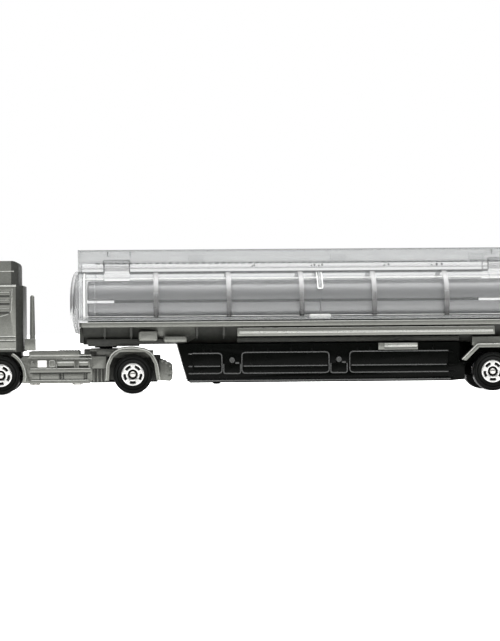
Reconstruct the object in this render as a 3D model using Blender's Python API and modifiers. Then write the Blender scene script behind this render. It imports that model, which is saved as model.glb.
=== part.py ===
"""Pocket-size die-cast toy: a silver tractor unit that pulls a tanker trailer with a clear tank cover.

The numbers below are millimetres; MM turns them to metres. +X is the rear, +Z is up, and the ground is z 0.
"""
import math

import bmesh
import bpy
from mathutils import Matrix, Vector

MM = 0.001

# Whole toy
LENGTH = 140.4
FRONT = -LENGTH / 2
REAR = LENGTH / 2
GAP = 0.3  # clearance between pieces that touch or turn

# Wheels and axles
WHEEL_RADIUS = 4.5
WHEEL_WIDTH = 3.6
WHEEL_FACE_Y = 11.5  # outer face of each wheel
BORE_RADIUS = 0.6
SHAFT_RADIUS = 0.38
HEAD_RADIUS = 0.75
FRONT_AXLE_X = -57.4
DRIVE_AXLE_X = -27.0
TRAILER_AXLE_X = 56.5
ARCH_RADIUS = 5.8  # wheel arch of the front wheels
SPINE_HALF = 6.6  # half-width of the frames between the wheels
SPINE_LOW = 6.4
PLATE_LOW, PLATE_HIGH, PLATE_HALF = 2.6, 3.6, 6.1  # plates under the axles

# Cab
CAB_FACE_X = -69.6
CAB_REAR_X = -52.2
CAB_LOW = 9.9
CAB_TOP = 25.2
CAB_HALF = 11.6
CAB_WALL = 1.1
SCREEN_LOW = 17.0
SCREEN_LEAN = 0.25  # how far the windscreen goes back for each millimetre of height
FAIRING_HALF = 11.0
FAIRING_REAR_X = -53.2
FAIRING_TOP = 30.9
WINDOW_LOW, WINDOW_HIGH = 17.6, 23.9
PANE = 0.8
GRILLE_HALF, GRILLE_LOW, GRILLE_HIGH = 7.6, 10.6, 16.4  # seat of the front grille
LOUVRE_LEVELS = (19.6, 21.6, 23.4)
LOUVRE_FRONT_X, LOUVRE_REAR_X, LOUVRE_HIGH = -58.0, -55.2, 0.9

# Tractor frame
CHASSIS_LOW = 2.5
CHASSIS_TOP = 8.8
DECK_TOP = 9.9
UNIT_OUTER = 11.2  # side tanks
UNIT_CORE = 10.3
TRACTOR_TAIL_X = -17.8
FENDER_HALF = 11.9  # outer face of the rear fenders
AIR_TANKS = ((-44.6, -40.3), (-39.6, -37.0))  # front and rear x of the round tanks
AIR_TANK_RADIUS, AIR_TANK_Z = 0.8, 7.0
PANEL_FRONT_X, PANEL_REAR_X, PANEL_HALF = -36.5, -32.9, 9.8  # upright panel ahead of the rear fender
WELL_FRONT_X, WELL_REAR_X, WELL_HALF, WELL_TOP = -32.5, -22.2, 7.2, 9.9  # wall behind the drive wheels
WELL_SLOT_HALF = 2.0  # the wall is open around the axle

# Coupling
PIVOT_X = -33.3
PIN_RADIUS = 1.5
PIN_HOLE = 1.9
BLOCK_TOP = 10.3

# Trailer casting
TRAY_FRONT_X = -39.3
TRAY_REAR_X = 68.0
TRAY_HALF = 12.4
RIM_LOW, RIM_TOP = 15.4, 16.5
HULL_LOW = 11.4
HULL_TOP_HALF, HULL_LOW_HALF = 11.2, 8.0
RAIL_HALF = 12.3

# Tank: ellipse sections about one level line
TANK_Z = 21.15
COVER_HALF, COVER_RISE = 11.8, 7.35
COVER_WALL = 0.9
COVER_FRONT_X, COVER_REAR_X = -39.6, 68.2
DOME_DEPTH = 2.0
DRUM_HALF, DRUM_RISE = 10.3, 5.05
DRUM_WALL = 0.8
DRUM_FRONT_X, DRUM_REAR_X = -37.4, 66.0
SEAM_LOW, SEAM_HIGH = 20.95, 21.7
COVER_FOOT = RIM_TOP + GAP
WALK_HALF = 5.2
WALK_TOP = 33.4
WALK_FLOOR = 30.3
HOOP_FIRST_X, HOOP_PITCH, HOOP_COUNT, HOOP_WIDTH, HOOP_PROUD = -21.5, 16.86, 6, 1.2, 0.25
WINDOW_FIRST_X, WINDOW_LAST_X, WINDOW_LENGTH = -33.6, 56.4, 6.0

# Trailer base
SKIRT_TOP, SKIRT_LOW = 11.35, 2.4
SKIRT_FRONT_TOP_X, SKIRT_FRONT_LOW_X, SKIRT_REAR_X = -16.7, -14.1, 50.0
SKIRT_HALF = 11.3
SKIRT_WALL = 1.2
SKIRT_ROOF_LOW = 9.9
RIB_PROUD = 0.5
BOXES = ((-13.2, -6.4, 9.2), (-1.8, 18.4, 9.35), (23.2, 46.1, 9.4))  # front x, rear x, top of each side box
UNITS = ((-5.8, -2.3), (19.0, 22.4))  # front x, rear x of the small boxes between them
RIB_LEVELS = (4.5, 6.15)

TURN_STEPS = 28

for old in list(bpy.data.objects):
    bpy.data.objects.remove(old)

truck = bpy.data.collections.new("tanker_truck")
cutters = bpy.data.collections.new("cutters")
bpy.context.scene.collection.children.link(truck)
bpy.context.scene.collection.children.link(cutters)


def linear(hex_colour):
    """sRGB hex to linear RGBA."""
    channels = [int(hex_colour[i : i + 2], 16) / 255 for i in (1, 3, 5)]
    return [c / 12.92 if c <= 0.04045 else ((c + 0.055) / 1.055) ** 2.4 for c in channels] + [1.0]


def material(name, hex_colour, metallic, roughness, transmission=0.0):
    made = bpy.data.materials.new(name)
    made.use_nodes = True
    shader = made.node_tree.nodes["Principled BSDF"]
    shader.inputs["Base Color"].default_value = linear(hex_colour)
    shader.inputs["Metallic"].default_value = metallic
    shader.inputs["Roughness"].default_value = roughness
    shader.inputs["Transmission Weight"].default_value = transmission
    return made


SILVER = material("silver_paint", "#8c8d88", 0.8, 0.35)
DRUM_SILVER = material("drum_silver", "#9a9a9a", 0.9, 0.3)
CLEAR = material("clear_plastic", "#f2f4f4", 0.0, 0.05, 0.9)
BLACK = material("black_plastic", "#0c0d0c", 0.0, 0.35)
STEEL = material("bright_steel", "#c8c8c6", 1.0, 0.25)
DARK = material("dark_plastic", "#2a2b2a", 0.0, 0.5)


# Building blocks ----------------------------------------------------------------------------------
def matrix_for(axis):
    """Stands a flat outline up along this axis: its x, y become y, z (X), x, z (Y) or x, y (Z)."""
    if axis == "X":
        return Matrix(((0, 0, 1, 0), (1, 0, 0, 0), (0, 1, 0, 0), (0, 0, 0, 1)))
    if axis == "Y":
        return Matrix.Rotation(math.radians(90), 4, "X")
    return Matrix.Identity(4)


def add(name, mesh, finish):
    made = bpy.data.objects.new(name, mesh)
    truck.objects.link(made)
    made.data.materials.clear()
    made.data.materials.append(finish)
    return made


def prism(name, outline, axis, low, high, finish=SILVER):
    """A flat outline in mm, extruded from low to high along an axis."""
    flat = bpy.data.curves.new(name, "CURVE")
    flat.dimensions = "2D"
    flat.fill_mode = "BOTH"
    flat.extrude = (high - low) / 2 * MM
    line = flat.splines.new("POLY")
    line.points.add(len(outline) - 1)
    for point, (u, v) in zip(line.points, outline):
        point.co = (u * MM, v * MM, 0, 1)
    line.use_cyclic_u = True
    guide = bpy.data.objects.new(name, flat)
    truck.objects.link(guide)
    bpy.context.view_layer.update()
    mesh = bpy.data.meshes.new_from_object(guide.evaluated_get(bpy.context.evaluated_depsgraph_get()))
    bpy.data.objects.remove(guide)
    middle = (low + high) / 2 * MM
    centre = Vector([middle if axis == letter else 0 for letter in "XYZ"])
    mesh.transform(Matrix.Translation(centre) @ matrix_for(axis))
    work = bmesh.new()
    work.from_mesh(mesh)
    bmesh.ops.remove_doubles(work, verts=work.verts, dist=1e-7)
    bmesh.ops.recalc_face_normals(work, faces=work.faces)
    work.to_mesh(mesh)
    work.free()
    return add(name, mesh, finish)


def blocks(name, boxes, finish=SILVER):
    """Boxes as (low corner, high corner) in mm, in one mesh."""
    work = bmesh.new()
    for low, high in boxes:
        size = [(h - l) * MM for l, h in zip(low, high)]
        centre = [(h + l) / 2 * MM for l, h in zip(low, high)]
        bmesh.ops.create_cube(work, size=1, matrix=Matrix.Translation(centre) @ Matrix.Diagonal((*size, 1)))
    mesh = bpy.data.meshes.new(name)
    work.to_mesh(mesh)
    work.free()
    return add(name, mesh, finish)


def both_sides(x0, x1, y0, y1, z0, z1):
    """The same box on the left and on the right."""
    return [((x0, -y1, z0), (x1, -y0, z1)), ((x0, y0, z0), (x1, y1, z1))]


def turned(name, profile, finish, closed=False, steps=TURN_STEPS):
    """A profile of (radius, height) in mm, from its top down its outer side, turned about its own Z axis."""
    mesh = bpy.data.meshes.new(name)
    points = [(radius * MM, 0, height * MM) for radius, height in profile]
    edges = [(i, i + 1) for i in range(len(points) - 1)]
    if closed:
        edges.append((len(points) - 1, 0))
    mesh.from_pydata(points, edges, [])
    made = add(name, mesh, finish)
    screw = made.modifiers.new("turn", "SCREW")
    screw.steps = screw.render_steps = steps
    screw.use_merge_vertices = True
    screw.merge_threshold = 1e-6
    return made


def cylinder(name, radius, low, high, x, y=0.0, finish=SILVER, steps=20):
    """An upright cylinder."""
    made = turned(name, ((0, high), (radius, high), (radius, low), (0, low)), finish, steps=steps)
    made.location = (x * MM, y * MM, 0)
    return made


def boolean(target, tool, operation):
    step = target.modifiers.new(tool.name, "BOOLEAN")
    step.operation = operation
    step.object = tool
    step.solver = "EXACT"
    truck.objects.unlink(tool)
    cutters.objects.link(tool)
    tool.hide_render = True
    tool.display_type = "WIRE"


def join(target, *tools):
    for tool in tools:
        boolean(target, tool, "UNION")


def cut(target, *tools):
    for tool in tools:
        boolean(target, tool, "DIFFERENCE")


def arc(x, z, radius, start, stop, count):
    """Points along an arc, angles in degrees from +X towards +Z."""
    angles = [math.radians(start + (stop - start) * i / count) for i in range(count + 1)]
    return [(x + radius * math.cos(a), z + radius * math.sin(a)) for a in angles]


def empty(name, x, y, z, parent=None):
    made = bpy.data.objects.new(name, None)
    truck.objects.link(made)
    made.parent = parent
    place = Vector((x, y, z)) * MM
    made.location = place - (parent.matrix_world.translation if parent else Vector())
    bpy.context.view_layer.update()
    return made


def attach(parent, *pieces):
    """Parents pieces whose location is still a world place."""
    for piece in pieces:
        piece.location = piece.location - parent.matrix_world.translation
        piece.parent = parent


trailer = empty("trailer", 0, 0, 0)
tractor = empty("tractor", PIVOT_X, 0, BLOCK_TOP, trailer)


# Wheels, axles and their springs ------------------------------------------------------------------
def wheel(name, x, side, carrier):
    half = WHEEL_WIDTH / 2
    profile = (
        (BORE_RADIUS, half - 0.8),
        (1.2, half - 0.8),
        (1.25, half - 0.15),
        (2.65, half - 0.15),
        (2.8, half - 0.4),
        (3.5, half - 0.1),
        (4.1, half),
        (WHEEL_RADIUS, half - 0.4),
        (WHEEL_RADIUS, 0.4 - half),
        (4.1, -half),
        (BORE_RADIUS, -half),
    )
    made = turned(name, profile, BLACK, closed=True)
    made.location = Vector((x, side * (WHEEL_FACE_Y - half), WHEEL_RADIUS)) * MM
    made.rotation_euler.x = math.radians(-90 * side)
    attach(carrier, made)


def axle_set(name, x, wheel_names, parent):
    """A pin with peened heads, its leaf spring and two wheels, on a carrier that rises in the axle slots."""
    carrier = empty(name + "_carrier", x, 0, WHEEL_RADIUS, parent)
    head_low = WHEEL_FACE_Y - 0.5
    dome = [(0, 0.55), (0.35, 0.48), (0.62, 0.3), (HEAD_RADIUS, 0.08), (HEAD_RADIUS, 0), (SHAFT_RADIUS, 0)]
    half_profile = [(radius, head_low + height) for radius, height in dome]
    profile = half_profile + [(radius, -height) for radius, height in reversed(half_profile)]
    pin = turned(name, profile, STEEL, steps=16)
    pin.location = Vector((x, 0, WHEEL_RADIUS)) * MM
    pin.rotation_euler.x = math.radians(90)
    leaf_low = WHEEL_RADIUS + SHAFT_RADIUS + 0.2
    leaf = blocks(name + "_spring", [((x - 3.2, -2.0, leaf_low), (x + 3.2, 2.0, leaf_low + 0.25))], STEEL)
    attach(carrier, pin, leaf)
    for side, wheel_name in zip((-1, 1), wheel_names):
        wheel(wheel_name, x, side, carrier)


axle_set("front_axle", FRONT_AXLE_X, ("front_wheel_left", "front_wheel_right"), tractor)
axle_set("drive_axle", DRIVE_AXLE_X, ("drive_wheel_left", "drive_wheel_right"), tractor)
axle_set("trailer_axle", TRAILER_AXLE_X, ("trailer_wheel_left", "trailer_wheel_right"), trailer)


def fork_boxes(x):
    """Posts in front of and behind an axle, which keep it square and let it rise."""
    slot = SHAFT_RADIUS + 0.25
    front = both_sides(x - slot - 1.1, x - slot, 4.6, 5.8, PLATE_HIGH - 0.2, 6.0)
    behind = both_sides(x + slot, x + slot + 1.1, 4.6, 5.8, PLATE_HIGH - 0.2, 6.0)
    return front + behind


def rivet(name, x, head_low, shank_top, parent):
    profile = [(0, shank_top), (0.7, shank_top), (0.7, head_low + 0.4), (1.3, head_low + 0.4)]
    profile += [(1.3, head_low + 0.2), (1.0, head_low), (0, head_low)]
    made = turned(name, profile, STEEL, steps=16)
    made.location.x = x * MM
    attach(parent, made)


# Cab ----------------------------------------------------------------------------------------------
def screen_x(z):
    """Outer face of the cab's front at a height."""
    return CAB_FACE_X + max(0.0, z - SCREEN_LOW) * SCREEN_LEAN


def cab_side(inset, low, high, rear):
    """Side outline of the cab's body, drawn in from its outer face by inset."""
    front = [(screen_x(z) + inset, z) for z in (high, SCREEN_LOW, low) if low <= z <= high]
    return [(rear, high)] + front + [(rear, low)]


def cab_plan(inset, rear_x, half):
    """Plan outline with round front corners and slanted rear corners."""
    side = half - inset
    front = CAB_FACE_X - 1.0
    right = [(front, side - 3.4), (CAB_FACE_X + 0.4, side - 1.4), (CAB_FACE_X + 2.0, side - 0.3)]
    right += [(-66.0, side), (rear_x - 1.6, side), (rear_x - inset, side - 1.8)]
    return right + [(x, -y) for x, y in reversed(right)]


cab_shell = prism("cab_shell", cab_side(0, CAB_LOW, CAB_TOP, CAB_REAR_X), "Y", -CAB_HALF - 1, CAB_HALF + 1)
body_plan = prism("cab_plan", cab_plan(0, CAB_REAR_X, CAB_HALF), "Z", CAB_LOW - 2, CAB_TOP + 2)
boolean(cab_shell, body_plan, "INTERSECT")
fairing_outline = [(-67.3, 24.6), (-66.7, 26.4), (-65.4, 28.0), (-62.9, 29.9), (-60.3, FAIRING_TOP)]
fairing_outline += arc(FAIRING_REAR_X - 1.3, FAIRING_TOP - 1.3, 1.3, 90, 0, 4) + [(FAIRING_REAR_X, 24.6)]
fairing = prism("fairing", fairing_outline, "Y", -FAIRING_HALF - 1, FAIRING_HALF + 1)
fairing_plan = cab_plan(0, FAIRING_REAR_X, FAIRING_HALF)
boolean(fairing, prism("fairing_plan", fairing_plan, "Z", 22, FAIRING_TOP + 2), "INTERSECT")
join(cab_shell, fairing)
inside = prism("cab_inside", cab_side(CAB_WALL, CAB_LOW - 2, 24.1, CAB_REAR_X - CAB_WALL), "Y", -10.5, 10.5)
loft_outline = [(-65.6, 23.0), (-65.0, 25.6), (-62.4, 28.5), (-60.0, 29.6), (-54.6, 29.6), (-54.6, 23.0)]
cut(cab_shell, inside, prism("fairing_inside", loft_outline, "Y", -9.6, 9.6))
window_outline = [(screen_x(WINDOW_LOW) + 2.0, WINDOW_LOW), (screen_x(WINDOW_HIGH) + 2.0, WINDOW_HIGH)]
window_outline += [(-59.8, WINDOW_HIGH), (-59.8, WINDOW_LOW)]
cut(cab_shell, prism("side_windows", window_outline, "Y", -CAB_HALF - 2, CAB_HALF + 2))
cut(cab_shell, blocks("windscreen_hole", [((-72, -9.6, WINDOW_LOW), (-66.4, 9.6, WINDOW_HIGH))]))
louvre_boxes = []
for louvre_z in LOUVRE_LEVELS:
    low, high = louvre_z - LOUVRE_HIGH / 2, louvre_z + LOUVRE_HIGH / 2
    louvre_boxes += both_sides(LOUVRE_FRONT_X, LOUVRE_REAR_X, CAB_HALF - 0.35, CAB_HALF + 1, low, high)
cut(cab_shell, blocks("louvres", louvre_boxes))
grille_seat = ((CAB_FACE_X - 1, -GRILLE_HALF, GRILLE_LOW), (CAB_FACE_X + 0.4, GRILLE_HALF, GRILLE_HIGH))
cut(cab_shell, blocks("grille_seat", [grille_seat]))

glass_low, glass_high = 16.6, 23.6
glass = cab_side(CAB_WALL + GAP, glass_low, glass_high, -58.8)
cab_windows = prism("cab_windows", glass, "Y", -10.2, 10.2, CLEAR)
pane_low, pane_high = WINDOW_LOW + GAP, WINDOW_HIGH - GAP
pane = [(screen_x(pane_low) + 2.3, pane_low), (screen_x(pane_high) + 2.3, pane_high)]
pane += [(-60.1, pane_high), (-60.1, pane_low)]
screen = [(screen_x(pane_low) + 0.2, pane_low), (screen_x(pane_high) + 0.2, pane_high)]
screen += [(screen_x(pane_high) + 2.0, pane_high), (screen_x(pane_low) + 2.0, pane_low)]
side_panes = prism("side_panes", pane, "Y", -CAB_HALF + 0.3, CAB_HALF - 0.3)
join(cab_windows, side_panes, prism("screen_pane", screen, "Y", -9.3, 9.3))
glass_inner = cab_side(CAB_WALL + GAP + PANE, glass_low - 2, glass_high - PANE, -57.0)
cut(cab_windows, prism("glass_inside", glass_inner, "Y", -10.2 + PANE, 10.2 - PANE))

cab_interior = blocks("cab_interior", [((-67.6, -9.9, 10.2), (-53.8, 9.9, 11.0))], DARK)
seat_boxes = both_sides(-62.4, -57.6, 2.4, 7.8, 10.8, 14.4)
back_boxes = both_sides(-58.8, -57.4, 2.6, 7.6, 14.0, 20.0)
join(cab_interior, blocks("seats", seat_boxes), blocks("seat_backs", back_boxes))
join(cab_interior, blocks("dash", [((-67.6, -9.2, 10.6), (-65.0, 9.2, 16.2))]))

grille_side, grille_bottom, grille_top = GRILLE_HALF - GAP, GRILLE_LOW + GAP, GRILLE_HIGH - GAP
grille_box = ((CAB_FACE_X - 0.6, -grille_side, grille_bottom), (CAB_FACE_X + 0.1, grille_side, grille_top))
front_grille = blocks("front_grille", [grille_box], DARK)
slots = [((CAB_FACE_X - 1, -6.6, 11.6 + 1.1 * i), (CAB_FACE_X - 0.25, 6.6, 12.2 + 1.1 * i)) for i in range(4)]
cut(front_grille, blocks("grille_slots", slots))

bumper_side = [(FRONT + 0.7, 2.6), (FRONT, 3.5), (FRONT, 9.2), (FRONT + 0.3, 9.6)]
bumper_side += arc(FRONT_AXLE_X, WHEEL_RADIUS, ARCH_RADIUS, 120, 199, 6)
front_bumper = prism("front_bumper", bumper_side, "Y", -CAB_HALF, CAB_HALF, SILVER)
bumper_plan = [(FRONT - 0.2, 8.6), (FRONT + 0.6, 10.6), (FRONT + 2.6, CAB_HALF), (-58.0, CAB_HALF)]
bumper_plan += [(x, -y) for x, y in reversed(bumper_plan)]
boolean(front_bumper, prism("bumper_plan", bumper_plan, "Z", 0, 12), "INTERSECT")
lamp_boxes = both_sides(FRONT - 1, FRONT + 0.5, 5.8, 9.0, 5.4, 7.4)
cut(front_bumper, blocks("lamp_recesses", lamp_boxes))

# Tractor frame ------------------------------------------------------------------------------------
spine = ((-60.4, -SPINE_HALF, SPINE_LOW), (-20.5, SPINE_HALF, CHASSIS_TOP))
tractor_chassis = blocks("tractor_chassis", [spine])
join(tractor_chassis, blocks("cab_seat", [((-59.4, -SPINE_HALF, 8.0), (-52.9, SPINE_HALF, CAB_LOW))]))
unit = [(-36.9, CHASSIS_LOW), (-36.3, 3.3), (-36.3, CHASSIS_TOP), (-52.3, CHASSIS_TOP)]
unit += arc(FRONT_AXLE_X, WHEEL_RADIUS, ARCH_RADIUS - 0.3, 38, -20, 5)
arch_strip = arc(FRONT_AXLE_X, WHEEL_RADIUS, ARCH_RADIUS, -19, 62, 8)
arch_strip += arc(FRONT_AXLE_X, WHEEL_RADIUS, ARCH_RADIUS - 0.6, 62, -19, 8)
for side_name, side in (("left", -1), ("right", 1)):
    inner, outer = sorted((side * (SPINE_HALF - 0.2), side * UNIT_CORE))
    join(tractor_chassis, prism("side_unit_" + side_name, unit, "Y", inner, outer))
    inner, outer = sorted((side * (SPINE_HALF - 0.2), side * CAB_HALF))
    join(tractor_chassis, prism("front_arch_" + side_name, arch_strip, "Y", inner, outer))
    for tank_front, tank_rear in AIR_TANKS:
        wall = [(AIR_TANK_RADIUS, tank_rear), (AIR_TANK_RADIUS, tank_front)]
        tank = turned("air_tank", [(0, tank_rear), *wall, (0, tank_front)], SILVER, steps=12)
        tank.rotation_euler.y = math.radians(90)
        tank.location = Vector((0, side * (UNIT_CORE - 0.1), AIR_TANK_Z)) * MM
        join(tractor_chassis, tank)
rails = both_sides(-50.8, -36.5, UNIT_CORE - 0.3, UNIT_OUTER, 5.1, 6.0)
rails += both_sides(-50.8, -37.0, UNIT_CORE - 0.3, UNIT_OUTER, CHASSIS_LOW + 0.05, 3.3)
rails += both_sides(-48.8, -46.7, UNIT_CORE - 0.3, UNIT_OUTER, 6.5, 7.9)
rails += both_sides(-50.0, -44.0, UNIT_CORE - 0.3, UNIT_OUTER - 0.3, 3.6, 4.8)
rails += both_sides(-43.2, -38.0, UNIT_CORE - 0.3, UNIT_OUTER - 0.3, 3.6, 4.8)
join(tractor_chassis, blocks("unit_details", rails))
deck_boxes = [((-50.9, -10.5, CHASSIS_TOP - 0.4), (-39.3, 10.5, DECK_TOP))]
deck_boxes += [((-38.3, -5.5, CHASSIS_TOP - 0.4), (-30.5, 5.5, BLOCK_TOP))]
join(tractor_chassis, blocks("deck_and_block", deck_boxes))
well_roof = ((WELL_FRONT_X, -WELL_HALF, CHASSIS_TOP - 0.5), (WELL_REAR_X, WELL_HALF, WELL_TOP))
join(tractor_chassis, blocks("well_roof", [well_roof]))
for wall_front, wall_rear in (
    (WELL_FRONT_X + 0.1, DRIVE_AXLE_X - WELL_SLOT_HALF),
    (DRIVE_AXLE_X + WELL_SLOT_HALF, WELL_REAR_X - 0.1),
):
    walls = both_sides(wall_front, wall_rear, PLATE_HALF + 0.2, WELL_HALF - 0.1, PLATE_HIGH - 0.4, CHASSIS_TOP - 0.2)
    join(tractor_chassis, blocks("well_wall", walls))
panels = both_sides(PANEL_FRONT_X, PANEL_REAR_X, SPINE_HALF - 0.3, PANEL_HALF, PLATE_LOW, CHASSIS_TOP - 0.1)
join(tractor_chassis, blocks("link_panels", panels))
outer_arch = [(-33.3, 3.1), (-33.1, 6.8), (-31.9, 9.3), (-30.0, 10.5), (-27.0, 10.7), (-23.8, 10.2)]
outer_arch += [(-22.3, 9.2), (-21.2, 7.0), (-20.6, 3.1)]
inner_arch = [(-21.5, 3.1), (-22.0, 6.8), (-22.9, 8.7), (-24.2, 9.75), (-29.9, 9.75), (-31.4, 8.7)]
inner_arch += [(-32.3, 6.6), (-32.5, 3.1)]
for side_name, side in (("left", -1), ("right", 1)):
    inner, outer = sorted((side * (SPINE_HALF - 0.2), side * FENDER_HALF))
    join(tractor_chassis, prism("rear_arch_" + side_name, outer_arch + inner_arch, "Y", inner, outer))
tail = [(-20.8, 3.0), (-18.4, 2.8), (-17.9, 3.2), (-17.7, 4.6), (TRACTOR_TAIL_X, 6.6), (-18.3, 7.0)]
tail += [(-19.0, 7.0), (-19.2, 7.5), (-20.8, 7.7)]
join(tractor_chassis, prism("tail", tail, "Y", -8.0, 8.0))
cut(tractor_chassis, cylinder("kingpin_hole", PIN_HOLE, SPINE_LOW - 2, BLOCK_TOP + 2, PIVOT_X))

plate_box = ((-62.3, -PLATE_HALF, PLATE_LOW), (-21.2, PLATE_HALF, PLATE_HIGH))
tractor_base_plate = blocks("tractor_base_plate", [plate_box], BLACK)
join(tractor_base_plate, blocks("tractor_forks", fork_boxes(FRONT_AXLE_X) + fork_boxes(DRIVE_AXLE_X)))
for rivet_name, rivet_x in (("tractor_rivet_front", -50.0), ("tractor_rivet_rear", -40.0)):
    cut(tractor_base_plate, cylinder(rivet_name + "_hole", 1.0, PLATE_LOW - 1, PLATE_HIGH + 1, rivet_x))
    rivet(rivet_name, rivet_x, PLATE_LOW - 0.7, SPINE_LOW - GAP, tractor)

intake_stack = blocks("intake_stack", [((-51.9, -10.4, DECK_TOP + GAP), (-49.4, -7.8, 12.9))])
pipe_profile = ((0, 23.0), (0.25, 22.95), (0.48, 22.6), (0.62, 12.5), (0, 12.5))
stack_pipe = turned("stack_pipe", pipe_profile, SILVER, steps=12)
stack_pipe.location = Vector((-50.1, -9.1, 0)) * MM
join(intake_stack, stack_pipe)
attach(tractor, cab_shell, cab_windows, cab_interior, front_grille, front_bumper)
attach(tractor, tractor_chassis, tractor_base_plate, intake_stack)

# Trailer casting ----------------------------------------------------------------------------------
rim = [(TRAY_FRONT_X, TRAY_HALF - 2.0), (TRAY_FRONT_X + 0.6, TRAY_HALF - 0.6)]
rim += [(TRAY_FRONT_X + 2.0, TRAY_HALF), (TRAY_REAR_X - 1.0, TRAY_HALF), (TRAY_REAR_X, TRAY_HALF - 1.0)]
rim += [(x, -y) for x, y in reversed(rim)]
tank_tray = prism("tank_tray", rim, "Z", RIM_LOW, RIM_TOP)
hull = [(-HULL_LOW_HALF, HULL_LOW), (HULL_LOW_HALF, HULL_LOW), (HULL_TOP_HALF, RIM_LOW + 0.3)]
hull += [(-HULL_TOP_HALF, RIM_LOW + 0.3)]
join(tank_tray, prism("hull", hull, "X", TRAY_FRONT_X + 0.9, TRAY_REAR_X - 0.9))
side_boxes = both_sides(-2.8, 56.9, 9.1, RAIL_HALF, 13.1, 15.0)
side_boxes += both_sides(-25.5, -21.2, 8.4, 12.0, 12.1, 14.5)
side_boxes += both_sides(-19.9, -14.4, 8.0, 11.6, 11.7, 13.3)
for rib_x in (-33.4, -27.3, -12.1, -5.9):
    side_boxes += both_sides(rib_x - 0.3, rib_x + 0.3, 8.6, 11.8, 13.2, RIM_LOW + 0.2)
join(tank_tray, blocks("side_boxes", side_boxes))
fender = [(49.3, 7.3), (52.9, 10.9), (60.0, 10.9), (63.6, 7.3)]
fender += [(62.6, 7.0), (59.6, 10.05), (53.3, 10.05), (50.3, 7.0)]
for side_name, side in (("left", -1), ("right", 1)):
    inner, outer = sorted((side * 7.0, side * 12.0))
    join(tank_tray, prism("fender_" + side_name, fender, "Y", inner, outer))
join(tank_tray, blocks("fender_mounts", both_sides(51.8, 61.2, 7.0, 10.6, 10.5, 12.6)))
well = ((DRUM_FRONT_X - GAP, -7.3, HULL_LOW + 1.2), (DRUM_REAR_X + GAP, 7.3, RIM_TOP + 2))
cut(tank_tray, blocks("tray_well", [well]))


# Tank ---------------------------------------------------------------------------------------------
def tank_solid(name, profile, half, rise, finish, steps=40):
    """A turned body laid along X and widened to an ellipse; its profile runs from the rear to the front."""
    made = turned(name, profile, finish, steps=steps)
    made.rotation_euler.y = math.radians(90)
    made.scale.y = half / rise
    made.location.z = TANK_Z * MM
    return made


def domed(rise, front_x, rear_x, depth):
    """Profile of a barrel with a shallow dome at each end."""
    angles = [math.radians(a) for a in (90, 60, 40, 20, 0)]
    rear_end = [(rise * math.cos(a), rear_x + depth * math.sin(a)) for a in angles]
    front_end = [(rise * math.cos(a), front_x - depth * math.sin(a)) for a in reversed(angles)]
    rear_end[0], front_end[-1] = (0, rear_x + depth), (0, front_x - depth)
    return rear_end + front_end


def drum_half(name, z_low, z_high):
    """The drum above or below its seam: what lies between z_low and z_high is cut away."""
    outside = domed(DRUM_RISE, DRUM_FRONT_X + 0.6, DRUM_REAR_X - 0.6, 0.6)
    made = tank_solid(name, outside, DRUM_HALF, DRUM_RISE, DRUM_SILVER)
    rise = DRUM_RISE - DRUM_WALL
    hollow = domed(rise, DRUM_FRONT_X + 0.6 + DRUM_WALL, DRUM_REAR_X - 0.6 - DRUM_WALL, 0.6)
    cut(made, tank_solid(name + "_hollow", hollow, DRUM_HALF - DRUM_WALL, rise, DRUM_SILVER))
    cut(made, blocks(name + "_split", [((-60, -20, z_low), (90, 20, z_high))]))
    return made


tank_drum_lower = drum_half("tank_drum_lower", SEAM_LOW, 40)
tank_drum_upper = drum_half("tank_drum_upper", 0, SEAM_HIGH)
lip_front_x, lip_rear_x = -31.2, 53.6
join(tank_drum_upper, blocks("lip_shelf", both_sides(lip_front_x, lip_rear_x, 7.9, 9.3, 21.95, 22.5)))
join(tank_drum_upper, blocks("lip", both_sides(lip_front_x + 0.1, lip_rear_x - 0.1, 8.0, 8.5, 19.8, 22.2)))

cover_outside = domed(COVER_RISE, COVER_FRONT_X, COVER_REAR_X, DOME_DEPTH)
tank_cover = tank_solid("tank_cover", cover_outside, COVER_HALF, COVER_RISE, CLEAR)
walk = ((COVER_FRONT_X - 0.1, -WALK_HALF, TANK_Z), (COVER_REAR_X + 0.1, WALK_HALF, WALK_TOP))
join(tank_cover, blocks("walkway", [walk]))
for hoop in range(HOOP_COUNT):
    middle = HOOP_FIRST_X + hoop * HOOP_PITCH
    ring = [(0, middle + HOOP_WIDTH / 2), (COVER_RISE + HOOP_PROUD, middle + HOOP_WIDTH / 2)]
    ring += [(COVER_RISE + HOOP_PROUD, middle - HOOP_WIDTH / 2), (0, middle - HOOP_WIDTH / 2)]
    join(tank_cover, tank_solid("hoop", ring, COVER_HALF + HOOP_PROUD, COVER_RISE + HOOP_PROUD, CLEAR))
hollow = domed(COVER_RISE - COVER_WALL, COVER_FRONT_X, COVER_REAR_X, DOME_DEPTH - COVER_WALL)
cut(tank_cover, tank_solid("cover_hollow", hollow, COVER_HALF - COVER_WALL, COVER_RISE - COVER_WALL, CLEAR))
inner_walk = WALK_HALF - 0.8
walk_front, walk_rear = COVER_FRONT_X + 0.7, COVER_REAR_X - 0.7
trough = ((walk_front, -inner_walk, WALK_FLOOR), (walk_rear, inner_walk, WALK_TOP + 2))
under_floor = ((walk_front, -inner_walk, TANK_Z), (walk_rear, inner_walk, WALK_FLOOR - COVER_WALL))
cut(tank_cover, blocks("walkway_trough", [trough]), blocks("under_walkway", [under_floor]))
cut(tank_cover, blocks("cover_mouth", [((COVER_FRONT_X, -20, 0), (COVER_REAR_X, 20, COVER_FOOT))]))
window_holes = [((x, -20, 25.9), (x + WINDOW_LENGTH, 20, 27.6)) for x in (WINDOW_FIRST_X, WINDOW_LAST_X)]
cut(tank_cover, blocks("cover_windows", window_holes))

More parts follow.
